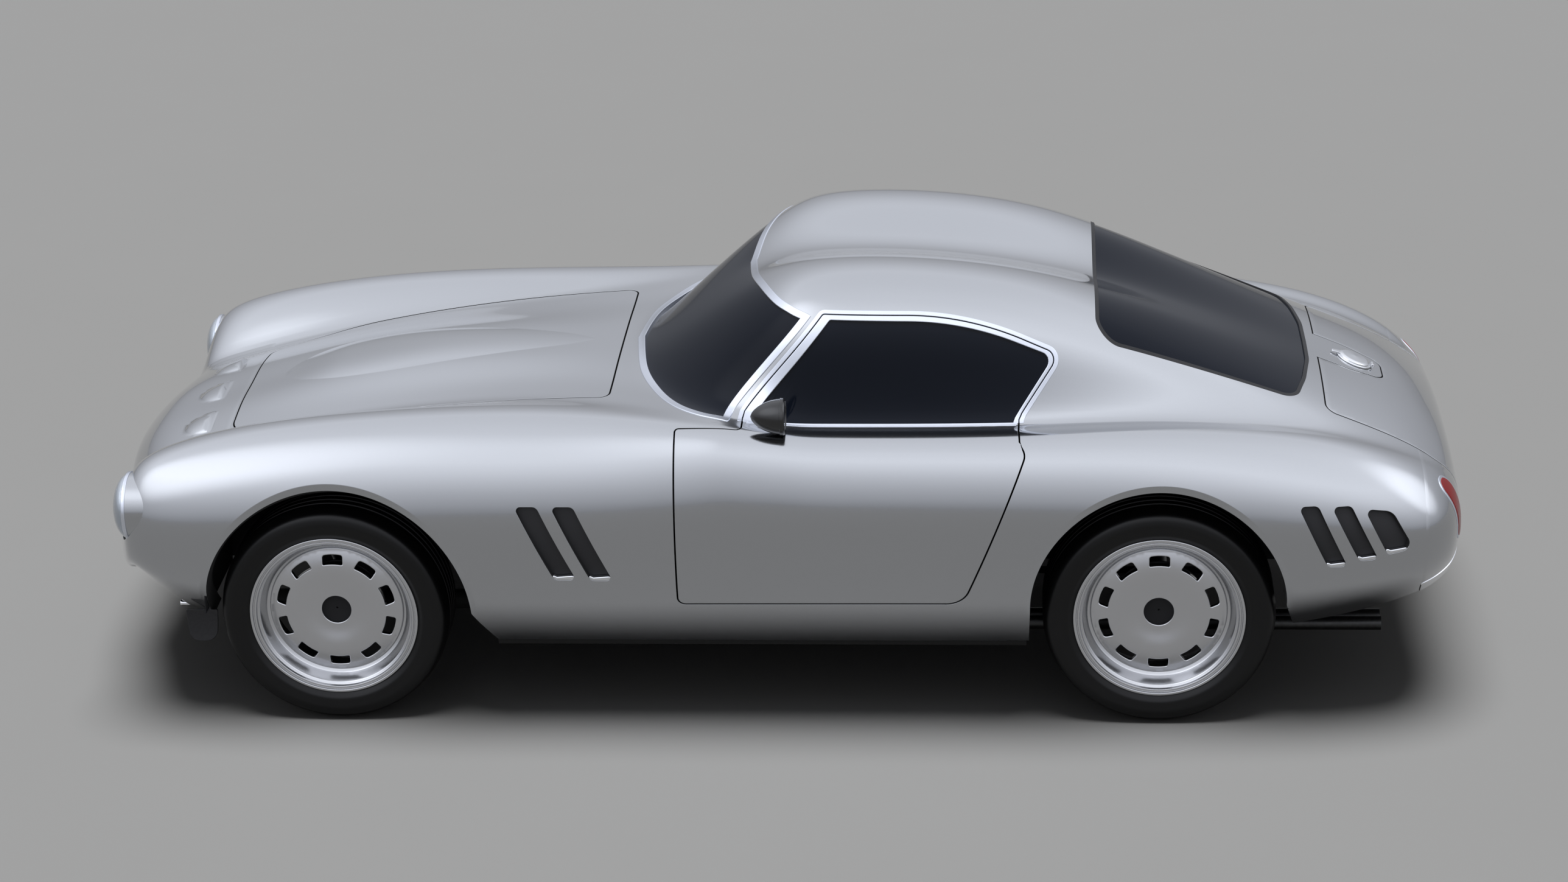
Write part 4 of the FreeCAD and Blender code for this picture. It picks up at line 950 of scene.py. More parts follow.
def lathe(profile: Array, steps: int, span: float = 360.0, start: float = 0.0) -> Mesh:
    """A closed profile carried round the Y axis.

    Formula: (r, y) goes to (r cos t, y, r sin t).  Points inside straight
    stretches are dropped and the profile is turned anticlockwise first, so
    the faces point outwards; corners sharper than CREASE keep their edge.

    Args:
        profile: Closed loop (n, 2) of radius and y in metres.
        steps: Faces round the axis.
        span: Degrees that the sweep covers; under 360 the ends are capped.
        start: Degrees at which it starts.

    Returns:
        The mesh.
    """
    step = unit(np.roll(profile, -1, 0) - profile)
    straight = (step * np.roll(step, 1, 0)).sum(1) > 0.99999
    profile = profile[~(straight & np.roll(straight, 1) & np.roll(straight, -1))]
    r, y = profile.T
    if (r * np.roll(y, -1) - np.roll(r, -1) * y).sum() < 0:
        profile = profile[::-1]
    ahead = unit(np.roll(profile, -1, 0) - profile)
    flat = np.stack([ahead[:, 1], -ahead[:, 0]], 1)
    before = np.roll(flat, 1, 0)
    soft = (flat * before).sum(1) > math.cos(math.radians(CREASE))
    mean = unit(flat + before)
    first = np.where(soft[:, None], mean, flat)
    last = np.roll(np.where(soft[:, None], mean, before), -1, 0)
    whole = span >= 359.99
    t = np.radians(start + np.linspace(0, span, steps + 1))
    if whole:
        t = t[:-1]
    c, s = np.cos(t)[:, None], np.sin(t)[:, None]

    def swept(values: Array) -> Array:
        """Pairs (r, y) carried to every angle."""
        return np.stack([values[:, 0] * c, values[:, 1] + 0 * c, values[:, 0] * s], -1)

    points, n0, n1 = swept(profile), swept(first), swept(last)
    count = len(profile)
    index = np.arange(len(t) * count).reshape(len(t), count)
    after = np.roll(index, -1, 0) if whole else index[1:]
    here = index if whole else index[:-1]
    face = np.stack([here, np.roll(here, -1, 1), np.roll(after, -1, 1), after], -1)
    a0 = n0 if whole else n0[:-1]
    a1 = n1 if whole else n1[:-1]
    b0 = np.roll(n0, -1, 0) if whole else n0[1:]
    b1 = np.roll(n1, -1, 0) if whole else n1[1:]
    shading = np.stack([a0, a1, b1, b0], -2)
    faces, normals = [face.reshape(-1, 4)], [shading.reshape(-1, 4, 3)]
    if not whole:
        tris = np.array(fill_loop(profile))
        for ring, way in ((index[0], 1), (index[-1], -1)):
            cap = ring[tris[:, ::way]]
            p = points.reshape(-1, 3)[cap]
            normals.append(np.repeat(unit(np.cross(p[:, 1] - p[:, 0], p[:, 2] - p[:, 0]))
                                     [:, None], 3, 1))
            faces.append(cap)
    return Mesh(points.reshape(-1, 3), faces, normals, [0] * len(faces))


def fill_loop(loop: Array, holes: Sequence[Array] = (), inner: Sequence[Array] = ()) -> Array:
    """Anticlockwise triangles that fill a closed loop of points in order."""
    loops = [loop] + list(holes)
    spots = np.vstack(loops + list(inner))
    pairs, start = [], 0
    for ring in loops:
        ids = np.arange(len(ring)) + start
        pairs.append(np.stack([ids, np.roll(ids, -1)], 1))
        start += len(ring)
    found = delaunay_2d_cdt([Vector(p) for p in spots.tolist()], np.vstack(pairs).tolist(),
                            [], 0, 1e-7, True)
    origin = np.array([ids[0] for ids in found[3]])
    tris = origin[np.array(found[2])]
    p = spots[tris]
    area = np.cross(p[:, 1] - p[:, 0], p[:, 2] - p[:, 0])
    tris[area < 0] = tris[area < 0][:, ::-1]
    middle = p.mean(1)
    keep = inside(loop, *middle.T) & (np.abs(area) > 1e-12)
    for hole in holes:
        keep &= ~inside(hole, *middle.T)
    return tris[keep]


def cut_plate(loop: Array, holes: Sequence[Array], front: Callable[[Array], Array],
              thick: float, roll: float, spacing: float) -> Mesh:
    """A plate across the Y axis with holes and a shaped face.

    Formula: the plane's points (z, x) are triangulated between the loops;
    y is front of them, the back lies thick behind, and every edge is rolled.

    Args:
        loop: Outline (n, 2) as (z, x) in metres.
        holes: Loops cut out of it.
        front: Gives y for points (n, 2).
        thick: Thickness in metres.
        roll: Radius of the edges in metres.
        spacing: Distance between inner points.

    Returns:
        The mesh, its front facing +Y.
    """
    low, high = loop.min(0), loop.max(0)
    lines = [np.arange(a + spacing / 2, b, spacing) for a, b in zip(low, high)]
    inner = np.stack(np.meshgrid(*lines, indexing="ij"), -1).reshape(-1, 2)
    keep = inside(loop, *inner.T)
    edge = np.vstack([loop] + list(holes))
    for hole in holes:
        keep &= ~inside(hole, *inner.T)
    keep &= ((inner[:, None] - edge[None]) ** 2).sum(-1).min(1) > (0.6 * spacing) ** 2
    flat = np.vstack([edge, inner[keep]])
    tris = fill_loop(loop, holes, [inner[keep]])
    h = 1e-4
    y = front(flat)
    slope = [(front(flat + d) - front(flat - d)) / (2 * h) for d in ((h, 0), (0, h))]
    normal = unit(np.stack([-slope[1], np.ones_like(y), -slope[0]], 1))
    top = np.stack([flat[:, 1], y, flat[:, 0]], 1) * 1000
    under = top - [0, thick * 1000, 0]
    wall = boundary_edges(tris)
    mesh = shelled(top + [0, 5e3, 0], normal, under + [0, 5e3, 0], tris, wall,
                   np.ones(len(top), bool), roll * 1000)
    mesh.points = (mesh.points - [0, 5e3, 0]) * MM
    mesh.kinds = [0] * len(mesh.faces)
    return mesh


def box_of(node: str) -> tuple[Array, Array]:
    """The lowest and the highest corner of a CAD node."""
    low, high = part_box(node)
    return np.array(low), np.array(high)


def on_side(parts: Sequence[Mesh], side: int) -> list[Mesh]:
    """Meshes of the right side, mirrored where the side is the left one."""
    return [part.mirrored() if side < 0 else part for part in parts]


def rounded(corners: Sequence[Sequence[float]], scale: float = MM) -> Array:
    """A closed loop through corners (a, b, radius), its corners rounded."""
    run = Run(View.FRONT, tuple(tuple(c) for c in corners))
    return run.points(True, 4.0) * scale


# ---------------------------------------------------------------------------
# Finishes
# ---------------------------------------------------------------------------


class Grain(Enum):
    """The fine structure of a finish."""

    PLAIN = "plain"
    FLAKE = "flake"
    CAST = "cast"
    HIDE = "hide"
    WOOD = "wood"


BUMP_DEPTH = 0.0006


@dataclass
class NodeGroup:
    """A node tree with one short call for each node, its settings and its links."""

    tree: bpy.types.NodeTree

    def fill(self, node: bpy.types.Node, inputs: dict) -> None:
        """Sets each input to its value, or links it where that is a socket."""
        for name, value in inputs.items():
            if isinstance(value, bpy.types.NodeSocket):
                self.tree.links.new(value, node.inputs[name])
            else:
                node.inputs[name].default_value = value

    def add(self, kind: str, inputs: dict, **settings: str) -> bpy.types.Node:
        """A new shader node of a kind with its settings and its inputs."""
        node = self.tree.nodes.new("ShaderNode" + kind)
        for name, value in settings.items():
            setattr(node, name, value)
        self.fill(node, inputs)
        return node


@dataclass(frozen=True)
class Finish:
    """A material of one kind, built from nodes that read object coordinates."""

    name: str
    colour: tuple[float, float, float]
    roughness: float
    metallic: float = 0.0
    grain: Grain = Grain.PLAIN
    scale: float = 60.0
    variation: float = 0.06
    bump: float = 0.0
    coat: float = 0.0
    coat_roughness: float = 0.03
    sheen: float = 0.0
    transmission: float = 0.0
    ior: float = 1.5

    def build(self) -> bpy.types.Material:
        """The material, made once and then found by its name."""
        found = bpy.data.materials.get(self.name)
        if found:
            return found
        material = bpy.data.materials.new(self.name)
        material.use_nodes = True
        nodes = NodeGroup(material.node_tree)
        place = nodes.add("TexCoord", {}).outputs["Object"]
        broad = nodes.add("TexNoise", {"Scale": self.scale * 0.08, "Detail": 4.0,
                                       "Vector": place})
        pattern = self._pattern(nodes, place)
        low = [c * (1 - self.variation) for c in self.colour] + [1.0]
        high = [min(1.0, c * (1 + self.variation)) for c in self.colour] + [1.0]
        tone = nodes.add("Mix", {"A": low, "B": high, "Factor": pattern}, data_type="RGBA")
        gloss = nodes.add("MapRange", {"To Min": self.roughness * 0.9,
                                       "To Max": min(1.0, self.roughness * 1.1),
                                       "Value": broad.outputs["Fac"]})
        shader = nodes.tree.nodes["Principled BSDF"]
        nodes.fill(shader, {
            "Metallic": self.metallic, "Coat Weight": self.coat,
            "Coat Roughness": self.coat_roughness, "Sheen Weight": self.sheen,
            "IOR": self.ior, "Transmission Weight": self.transmission,
            "Base Color": tone.outputs["Result"], "Roughness": gloss.outputs["Result"]})
        if self.bump:
            bump = nodes.add("Bump", {"Strength": self.bump, "Distance": BUMP_DEPTH,
                                      "Height": pattern})
            nodes.fill(shader, {"Normal": bump.outputs["Normal"]})
        return material

    def _pattern(self, nodes: NodeGroup, place: bpy.types.NodeSocket) -> bpy.types.NodeSocket:
        """The grain's own texture as one value from 0 to 1."""
        inputs = {"Scale": self.scale, "Vector": place}
        if self.grain in (Grain.FLAKE, Grain.HIDE):
            return nodes.add("TexVoronoi", inputs).outputs["Distance"]
        if self.grain is Grain.WOOD:
            inputs.update({"Distortion": 6.0, "Detail": 3.0})
            return nodes.add("TexWave", inputs).outputs["Fac"]
        return nodes.add("TexNoise", {**inputs, "Detail": 6.0}).outputs["Fac"]


SILVER = Finish("silver paint", (0.43, 0.44, 0.455), 0.15, 1.0, Grain.FLAKE, 900.0, 0.04,
                coat=1.0, coat_roughness=0.04)
UNDERSEAL = Finish("underseal", (0.010, 0.010, 0.010), 0.8, grain=Grain.CAST, scale=140.0,
                   bump=0.5)
PANE = Finish("dark glass", (0.006, 0.009, 0.018), 0.08, scale=8.0, variation=0.02, ior=1.22)
CHROME = Finish("chrome", (0.78, 0.79, 0.81), 0.08, 1.0, scale=40.0, variation=0.02)
POLISHED = Finish("polished trim", (0.70, 0.73, 0.80), 0.22, 1.0, scale=60.0, variation=0.03)
RUBBER_SEAL = Finish("seal rubber", (0.010, 0.010, 0.011), 0.55, grain=Grain.CAST,
                     scale=200.0, bump=0.2)
TYRE = Finish("tyre rubber", (0.006, 0.006, 0.0065), 0.36, grain=Grain.CAST, scale=260.0,
              variation=0.2, bump=0.15, ior=1.35)
WHEEL = Finish("wheel paint", (0.56, 0.565, 0.58), 0.24, 1.0, Grain.FLAKE, 700.0, 0.04,
               coat=0.5)
CAST_ALLOY = Finish("cast alloy", (0.32, 0.33, 0.35), 0.42, 0.9, Grain.CAST, 220.0, 0.15,
                    bump=0.35)
STEEL = Finish("painted steel", (0.03, 0.03, 0.033), 0.45, 0.4, Grain.CAST, 120.0, 0.3,
               bump=0.25)
# Exhaust steel darkened partly as painted shade, so that the pipes under the car read as lying in
# shadow.
SHADED_PIPE_STEEL = Finish("pipe steel darkened by painted shade", (0.05, 0.05, 0.05), 0.40, 0.9, Grain.CAST, 90.0, 0.35,
                    bump=0.2)
BLACK_TRIM = Finish("black trim", (0.010, 0.010, 0.011), 0.26, grain=Grain.CAST, scale=300.0,
                    coat=0.4)
# Near-black for the wheel-well linings and the hub cup behind each wheel's centre hole: the
# linings' own black deepened by painted shade of these recesses, and painted shade in the hub
# hole.
SHADE_BLACK = Finish("black with painted recess shade", (0.004, 0.004, 0.005), 0.85, grain=Grain.CAST, scale=90.0)
# Near-black sheet set back in each air slot: painted shade standing for the dark inside of the
# slots.
SLOT_SHADE = Finish("slot tray painted shade", (0.020, 0.020, 0.023), 0.6, grain=Grain.CAST, scale=160.0,
                    bump=0.2)
HIDE = Finish("black hide", (0.028, 0.026, 0.026), 0.42, grain=Grain.HIDE, scale=420.0,
              variation=0.25, bump=0.6, sheen=0.15)
DASH_HIDE = Finish("dash covering", (0.02, 0.02, 0.021), 0.6, grain=Grain.HIDE, scale=520.0,
                   variation=0.2, bump=0.5)
WOOD = Finish("varnished wood", (0.24, 0.095, 0.035), 0.25, grain=Grain.WOOD, scale=30.0,
              variation=0.35, coat=0.8)
CLEAR = Finish("clear lens", (0.93, 0.95, 0.97), 0.03, scale=20.0, variation=0.01,
               transmission=0.95, ior=1.45)
LAMP_GLASS = Finish("lamp glass", (0.62, 0.68, 0.76), 0.10, 0.35, scale=20.0, variation=0.02,
                    transmission=0.35, coat=0.8)
RED = Finish("red lens", (0.30, 0.004, 0.004), 0.20, scale=30.0, variation=0.08, ior=1.3)
FLOOR = Finish("studio floor", (0.360, 0.360, 0.360), 0.9, scale=2.0, variation=0.01,
               ior=1.2)


@dataclass(frozen=True)
class Piece:
    """What a finished piece belongs to."""

    name: str
    body: str
    finish: Finish
    slot: str
    stands_for: tuple[str, ...] = ()
    inside: Optional[Finish] = None

    def dress(self, thing: bpy.types.Object) -> bpy.types.Object:
        """Gives the object its finishes, its body and its CAD nodes."""
        thing.data.materials.append(self.finish.build())
        if self.inside:
            thing.data.materials.append(self.inside.build())
        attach(thing, self.body)
        if self.stands_for:
            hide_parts(*self.stands_for)
        LOG.info("%-26s %7d faces", self.name, len(thing.data.polygons))
        return thing

    def make(self, parts: Sequence[Mesh]) -> bpy.types.Object:
        """One dressed object from meshes."""
        mesh = joined(parts)
        if not self.inside:
            mesh.kinds = [0] * len(mesh.kinds)
        return self.dress(make_object(self.name, mesh))


# ---------------------------------------------------------------------------
# The body
# ---------------------------------------------------------------------------


@dataclass
class BodyShell:
    """The fixed panels, the hood, the lid and the doors, cut from one skin."""

    gap: float = 3.0
    door_gap: float = 6.0
    core_gap: float = 17.0
    field_: Arrangement = field(init=False)
    split_u: tuple[float, ...] = (0.0, U_NOSE, U_COWL, U_DOOR, U_ROOF, U_SHIELD, U_DOOR_END,
                                  U_REAR_GLASS, U_DECK, U_LID, U_TAIL, SPAN)
    split_v: tuple[float, ...] = (V_STRIP, V_SILL, V_SHOULDER, V_BELT, V_LEDGE, V_ROOF_SIDE,
                                  V_DECK, V_ROOF)

    def __post_init__(self) -> None:
        """Lays every outline on the skin and triangulates it."""
        a = Arrangement(Skin())
        a.add("door", (0, -self.door_gap, -self.core_gap, 10))
        a.add("door_glass", (0, 5, 9))
        a.add("shield_ends", (0, 9, -9))
        a.add("shield_sides", (0, 9, -9))
        a.add("rear_glass", (0, 5, -5))
        a.add("hood", (self.gap, -self.gap))
        a.add("lid", (self.gap, -self.gap))
        a.add("tongue", (0, self.door_gap))
        for name in ("bulge", "crease_front", "crease_rear"):
            a.add(name, (-1.5, 1.5))
        a.add("tail_lamp", (0, 6, -4))
        a.add("intake", (0, 9))
        for name in ("scoop_a", "scoop_b"):
            a.add(name, (0, -2))
        for name in ("lamp", "arch_front", "arch_rear") + SLOT_NAMES + LIP_NAMES:
            a.add(name, (0,))
        a.build(self.split_u, self.split_v)
        self.field_ = a

    def shield(self, grow: float) -> Array:
        """The windshield's region, its outline moved out by grow."""
        within = self.field_.within
        return within("shield_ends%+g" % grow) & within("shield_sides%+g" % grow)

    def holes(self) -> Array:
        """Everything that is cut out of the fixed body."""
        within = self.field_.within
        hole = within("hood%+g" % self.gap)
        hole |= within("lid%+g" % self.gap) & ~within("tongue+0")
        hole |= within("door+0") | self.shield(0) | within("rear_glass+0")
        for name in ("arch_front", "arch_rear", "lamp", "intake", "tail_lamp") + SLOT_NAMES:
            hole |= within(name + "+0")
        return hole

    def build(self) -> None:
        """Makes every painted panel."""
        a, within = self.field_, self.field_.within
        u, v = a.middle.T
        body = ~self.holes()
        nose = (u < U_NOSE) & (v > V_LEDGE)
        cowl = (u < U_SHIELD) & (((v > V_LEDGE) & (u > U_COWL))
                                 | ((v > V_SHOULDER) & (u > U_DOOR)))
        roof = (u < U_REAR_GLASS) & (((v > V_ROOF) & (u > U_ROOF))
                                     | ((v > V_ROOF_SIDE) & (u > U_SHIELD)))
        deck = (v > V_DECK) & (u > U_DECK) & (u < U_LID)
        tail = u > U_TAIL
        sill = (u > U_DOOR) & (u < U_DOOR_END) & (v < V_SILL)
        cowl &= ~roof
        wing = (u < U_DOOR) & ~nose & ~cowl
        rear = ~(nose | cowl | roof | deck | tail | sill | wing)
        plain = Sheet()
        edged = Sheet(door_edge=True)
        for name, mask in (("nose_panel", nose), ("cowl_panel", cowl), ("roof_panel", roof),
                           ("rear_deck", deck), ("tail_panel", tail)):
            self._panel(name, "body", mask & body, body, plain, (-1, 1))
        for side_name, side in SIDES:
            for name, mask, sheet in (("front_wing_", wing, edged), ("sill_", sill, plain),
                                      ("rear_quarter_", rear, plain)):
                self._panel(name + side_name, "body", mask & body, body, sheet, (side,))
        hood = within("hood%+g" % -self.gap)
        self._panel("hood", "hood", hood, hood, plain, (-1, 1))
        lid = within("lid%+g" % -self.gap) & ~within("tongue%+g" % self.door_gap)
        self._panel("trunk_lid", "trunk_lid", lid, lid, plain, (-1, 1))
        layer = within("door%+g" % -self.door_gap) & ~within("door_glass+0")
        core = within("door%+g" % -self.core_gap) & ~within("door_glass+9")
        for side_name, side in SIDES:
            body_name = "door_" + side_name
            parts = [Sheet(bottom=-6.0).cut(a, layer, layer, side),
                     Sheet(top=-5.5, roll=0.6).cut(a, core, core, side)]
            Piece(body_name, body_name, SILVER, "silver_paint", (body_name,),
                  DASH_HIDE).make(parts)

    def _panel(self, name: str, body: str, mask: Array, group: Array, sheet: Sheet,
               sides: Sequence[int]) -> None:
        """One painted panel that stands for the CAD node of the same name."""
        parts = [sheet.cut(self.field_, mask, group, side) for side in sides]
        Piece(name, body, SILVER, "silver_paint", (name,), UNDERSEAL).make(parts)


@dataclass
class Glazing:
    """The panes and the bright and black lines round them."""

    shell: BodyShell
    inset: float = -4.0
    thick: float = 6.0

    def build(self) -> None:
        """Makes the panes and their frames."""
        a, within = self.shell.field_, self.shell.field_.within
        pane = Sheet(top=self.inset, bottom=self.inset - self.thick, roll=0.3)
        shield, rear = self.shell.shield(0), within("rear_glass+0")
        side_pane = within("door_glass+0")
        for name, mask in (("windshield", shield), ("rear_window", rear)):
            self._both(name, mask, pane, PANE, "pane", (name,))
        above = a.middle[:, 1] > V_BELT
        door = within("door%+g" % -self.shell.door_gap) & ~side_pane
        frame_ = door & (above | within("door_glass+9"))
        outer_band = within("door+10") & ~within("door+0") & above
        for side_name, side in SIDES:
            name = "door_glass_" + side_name
            for piece, sheet, mask in (
                    (Piece(name, "door_" + side_name, PANE, "pane", (name,)), pane, side_pane),
                    (Piece("glass_frame_" + side_name, "door_" + side_name, POLISHED, "bright"),
                     Sheet(top=1.4, bottom=-5.0, roll=2.2), frame_),
                    (Piece("gutter_trim_" + side_name, "body", POLISHED, "bright"),
                     Sheet(top=1.4, bottom=-3.0, roll=1.4), outer_band)):
                piece.make([sheet.cut(a, mask, mask, side)])
        self._both("windshield_frame", self.shell.shield(9) & ~self.shell.shield(-9),
                   Sheet(top=2.2, bottom=-4.5, roll=2.6), POLISHED, "bright")
        self._both("rear_window_seal", within("rear_glass+5") & ~within("rear_glass-5"),
                   Sheet(top=0.6, bottom=-4.5, roll=1.0), RUBBER_SEAL, "trim_black")

    def _both(self, name: str, mask: Array, sheet: Sheet, finish: Finish, slot: str,
              stands_for: tuple[str, ...] = ()) -> None:
        """A piece of both halves of a region."""
        field_ = self.shell.field_
        Piece(name, "body", finish, slot, stands_for).make(
            [sheet.cut(field_, mask, mask, side) for side in (-1, 1)])


@dataclass
class SideDetails:
    """Trays painted with the shade inside the air slots, bright lips of the slots, tail lamps and
    edge trims.
    """

    shell: BodyShell
    tray_depth: float = 15.0

    def build(self) -> None:
        """Makes the small pieces that lie in the skin."""
        a, within = self.shell.field_, self.shell.field_.within
        slots = np.any([within(n + "+0") for n in SLOT_NAMES], axis=0)
        lips = np.any([within(n + "+0") for n in LIP_NAMES], axis=0) & slots
        # The trays sit behind the slots and carry painted shade for the inside of the slots.
        tray = Sheet(top=-self.tray_depth, bottom=-self.tray_depth - 5, roll=0.2)
        u, v = a.middle.T
        lamp = within("tail_lamp-4")
        bezel = within("tail_lamp+6") & ~lamp
        strip = (u > U_TAIL) & (u < SPAN) & (v < V_STRIP) & (v > 0)
        for side_name, side in SIDES:
            node = "tail_light_" + side_name
            for name, finish, slot, stands, sheet, mask in (
                    ("slot_shade_trays_" + side_name, SLOT_SHADE, "trim_black", (), tray, slots),
                    ("slot_lips_" + side_name, CHROME, "bright", (),
                     Sheet(top=-1.5, bottom=-13.0, roll=3.5), lips),
                    (node, RED, "red_lens", (node,),
                     Sheet(top=3.5, bottom=-12.0, roll=4.0), lamp),
                    ("tail_bezel_" + side_name, POLISHED, "bright", (),
                     Sheet(top=2.0, bottom=-8.0, roll=2.0), bezel),
                    ("tail_strip_" + side_name, CHROME, "bright", (),
                     Sheet(top=2.5, bottom=-2.0, roll=2.0), strip)):
                Piece(name, "body", finish, slot, stands).make(
                    [sheet.cut(a, mask, mask, side)])
        ring = within("intake+9") & ~within("intake+0")
        Piece("intake_trim", "body", POLISHED, "bright").make(
            [Sheet(top=3.0, bottom=-4.0, roll=2.5).cut(a, ring, ring, side)
             for side in (-1, 1)])


# ---------------------------------------------------------------------------
# Wheels
# ---------------------------------------------------------------------------


@dataclass
class RoadWheel:
    """A deep stepped rim with ten slots, its disc brake and its tyre."""

    radius: float = 0.335
    width: float = 0.228
    lip: float = 0.7425
    crest: float = 0.118
    disc_radius: float = 0.194
    hub: float = 0.046
    slot_radius: float = 0.163
    slot_count: int = 10
    cad_middle: float = 0.64

    def face(self, flat: Array) -> Array:
        """Depth of the disc's face below the lip.

        Formula: highest on a ring of the crest radius, falling as a smooth
        ramp to the hub hole and by a power of the distance to the edge.
        """
        r = np.hypot(flat[:, 0], flat[:, 1])
        inner = 0.011 * smooth_step((self.crest - r) / (self.crest - self.hub))
        outer = 0.015 * np.clip((r - self.crest) / (self.disc_radius - self.crest), 0, 1) ** 1.8
        return -0.036 - inner - outer

    def slot(self, turn: float) -> Array:
        """A rounded slot at an angle as a loop (z, x) in metres."""
        loop = rounded(((-32, -17, 8), (32, -17, 8), (32, 17, 8), (-32, 17, 8)))
        side, out = loop.T
        out = out + self.slot_radius - 0.0035 * (side / 0.03) ** 2
        c, s = math.cos(turn), math.sin(turn)
        return np.stack([out * c - side * s, out * s + side * c], 1)

    def parts(self) -> dict[str, list[Mesh]]:
        """The meshes of one wheel about the Y axis, its outside to +Y."""
        ring = np.radians(np.arange(0, 360, 2.5))
        circle = np.stack([np.cos(ring), np.sin(ring)], 1)
        slots = [self.slot(math.radians(360 / self.slot_count * k))
                 for k in range(self.slot_count)]
        hole = circle[::3] * self.hub
        disc = cut_plate(circle * self.disc_radius, [hole] + slots, self.face, 0.014, 0.003,
                         0.0075)
        barrel = lathe(rounded((
            (248, -10, 2), (248, 0, 2.5), (240, 0, 2), (238.5, -6, 1), (235.5, -6.5, 1),
            (234.5, -3.5, 1.5), (229.5, -4.5, 1.5), (228, -13, 3), (221, -17, 8),
            (206, -50, 6), (191, -58, 4), (191, -66, 3), (204, -72, 10), (207, -110, 10),
            (226, -150, 10), (229, -196, 3), (240, -205, 2), (248, -205, 2), (248, -196, 1),
            (233, -192, 4), (233, -14, 4))), 120)
        brake = lathe(rounded(((52, -100, 2), (135, -100, 2), (135, -108, 2), (52, -108, 2))),
                      96)
        hub = lathe(rounded(((3, -60, 1), (50, -60, 4), (60, -70, 3), (60, -99, 2),
                             (26, -99, 2), (26, -72, 2), (3, -72, 1))), 64)
        r, w = self.radius * 1000, self.width * 500
        tread = [(r, w - 50, 26)]
        for middle in (42, 14, -14, -42):
            tread += [(r, middle + 4, 1.5), (r - 6, middle + 2.5, 1), (r - 6, middle - 2.5, 1),
                      (r, middle - 4, 1.5)]
        tread += [(r, -w + 50, 26)]
        wall = [(236, 22, 3), (249, 15, 5), (264, 4, 14), (296, 0, 34), (r - 11, 6, 26)]
        section = [(a, w - b, c) for a, b, c in wall] + tread
        section += [(a, b - w, c) for a, b, c in wall[::-1]]
        rubber = lathe(rounded(section), 120)
        rubber.points = rubber.points + [0, self.cad_middle - self.lip, 0]
        return {"rim": [disc, barrel], "brake": [brake], "hub": [hub], "tyre": [rubber]}

    def build(self) -> None:
        """Makes the four wheels."""
        shapes = self.parts()
        # The hub cup behind the centre hole is near-black as painted shade in the hole.
        looks = {"rim": (WHEEL, "wheel_alloy"), "brake": (STEEL, "steel"),
                 "hub": (SHADE_BLACK, "steel"), "tyre": (TYRE, "tyre_rubber")}
        for end, axle in (("front", FRONT_AXLE), ("rear", REAR_AXLE)):
            for side_name, side in SIDES:
                corner = "%s_%s" % (end, side_name)
                for kind, parts in shapes.items():
                    placed = [p.placed(UPRIGHT, (axle, self.lip, HUB_Z)) for p in parts]
                    finish, slot = looks[kind]
                    node = "%s_%s" % (kind, corner)
                    stands = (node,) if kind in ("rim", "tyre") else ()
                    Piece(node, "wheel_" + corner, finish, slot, stands).make(
                        on_side(placed, side))


@dataclass
class WheelWells:
    """The linings of the wheel openings, near-black partly as their own colour and partly as
    painted shade of the wells, and the small lips ahead of them.
    """

    outer: float = 0.748
    inner: tuple[float, float] = (0.365, 0.43)
    low: tuple[float, float] = (470.0, 420.0)
    room: float = 3.0

    def build(self) -> None:
        """Makes a lining over each wheel."""
        for (end, arch), inner, wall in zip(ARCHES.items(), self.inner, self.low):
            x, z, radius = arch.x, arch.z, arch.radius + self.room
            band = lathe(np.array([(radius, inner * 1e3), (radius, self.outer * 1e3),
                                   (radius + 3, self.outer * 1e3), (radius + 3, inner * 1e3)])
                         * MM, 72, 184, -2)
            angle = np.radians(np.linspace(0, 180, 60))
            sweep = np.stack([radius * np.sin(angle), radius * np.cos(angle)], 1)
            foot, low = sweep[0, 0], wall - z
            loop = np.vstack([sweep, [(foot, -250), (low, -210), (low, 210), (foot, 250)]]) * MM
            if np.cross(loop, np.roll(loop, -1, 0)).sum() < 0:
                loop = loop[::-1]
            back = cut_plate(loop, (), lambda at: 0 * at[:, 0], 0.003, 0.001, 0.05)
            place = (FRONT_AXLE + x * MM, 0.0, z * MM)
            for side_name, side in SIDES:
                parts = [band.placed(UPRIGHT, place),
                         back.placed(UPRIGHT, (place[0], inner + 0.003, place[2]))]
                # The linings are near-black: their own black deepened by painted shade of the
                # wells.
                Piece("well_%s_%s" % (end, side_name), "body", SHADE_BLACK, "underside").make(
                    on_side(parts, side))
        lip = rounded(((236, -440, 30), (236, -362, 34), (330, -356, 3), (330, -448, 3)))
        plate = cut_plate(lip, (), lambda at: 0.012 * ((at[:, 0] - 0.33) / 0.1) ** 2, 0.004,
                          0.0015, 0.012)
        tube = lathe(rounded(((2, 0, 1), (9, 0, 2), (9, -60, 2), (2, -60, 1))), 32)
        lip_part = plate.placed(UPRIGHT, (FRONT_AXLE, 0.69, 0.0))
        stub_part = tube.placed(AHEAD, (FRONT_AXLE - 0.497, 0.56, 0.292))
        for side_name, side in SIDES:
            for part, name, finish, slot in ((lip_part, "splash_lip_", STEEL, "steel"),
                                             (stub_part, "tow_stub_", CHROME, "bright")):
                Piece(name + side_name, "body", finish, slot).make(on_side([part], side))


# ---------------------------------------------------------------------------
# Lamps, mirrors and the fuel cap
# ---------------------------------------------------------------------------


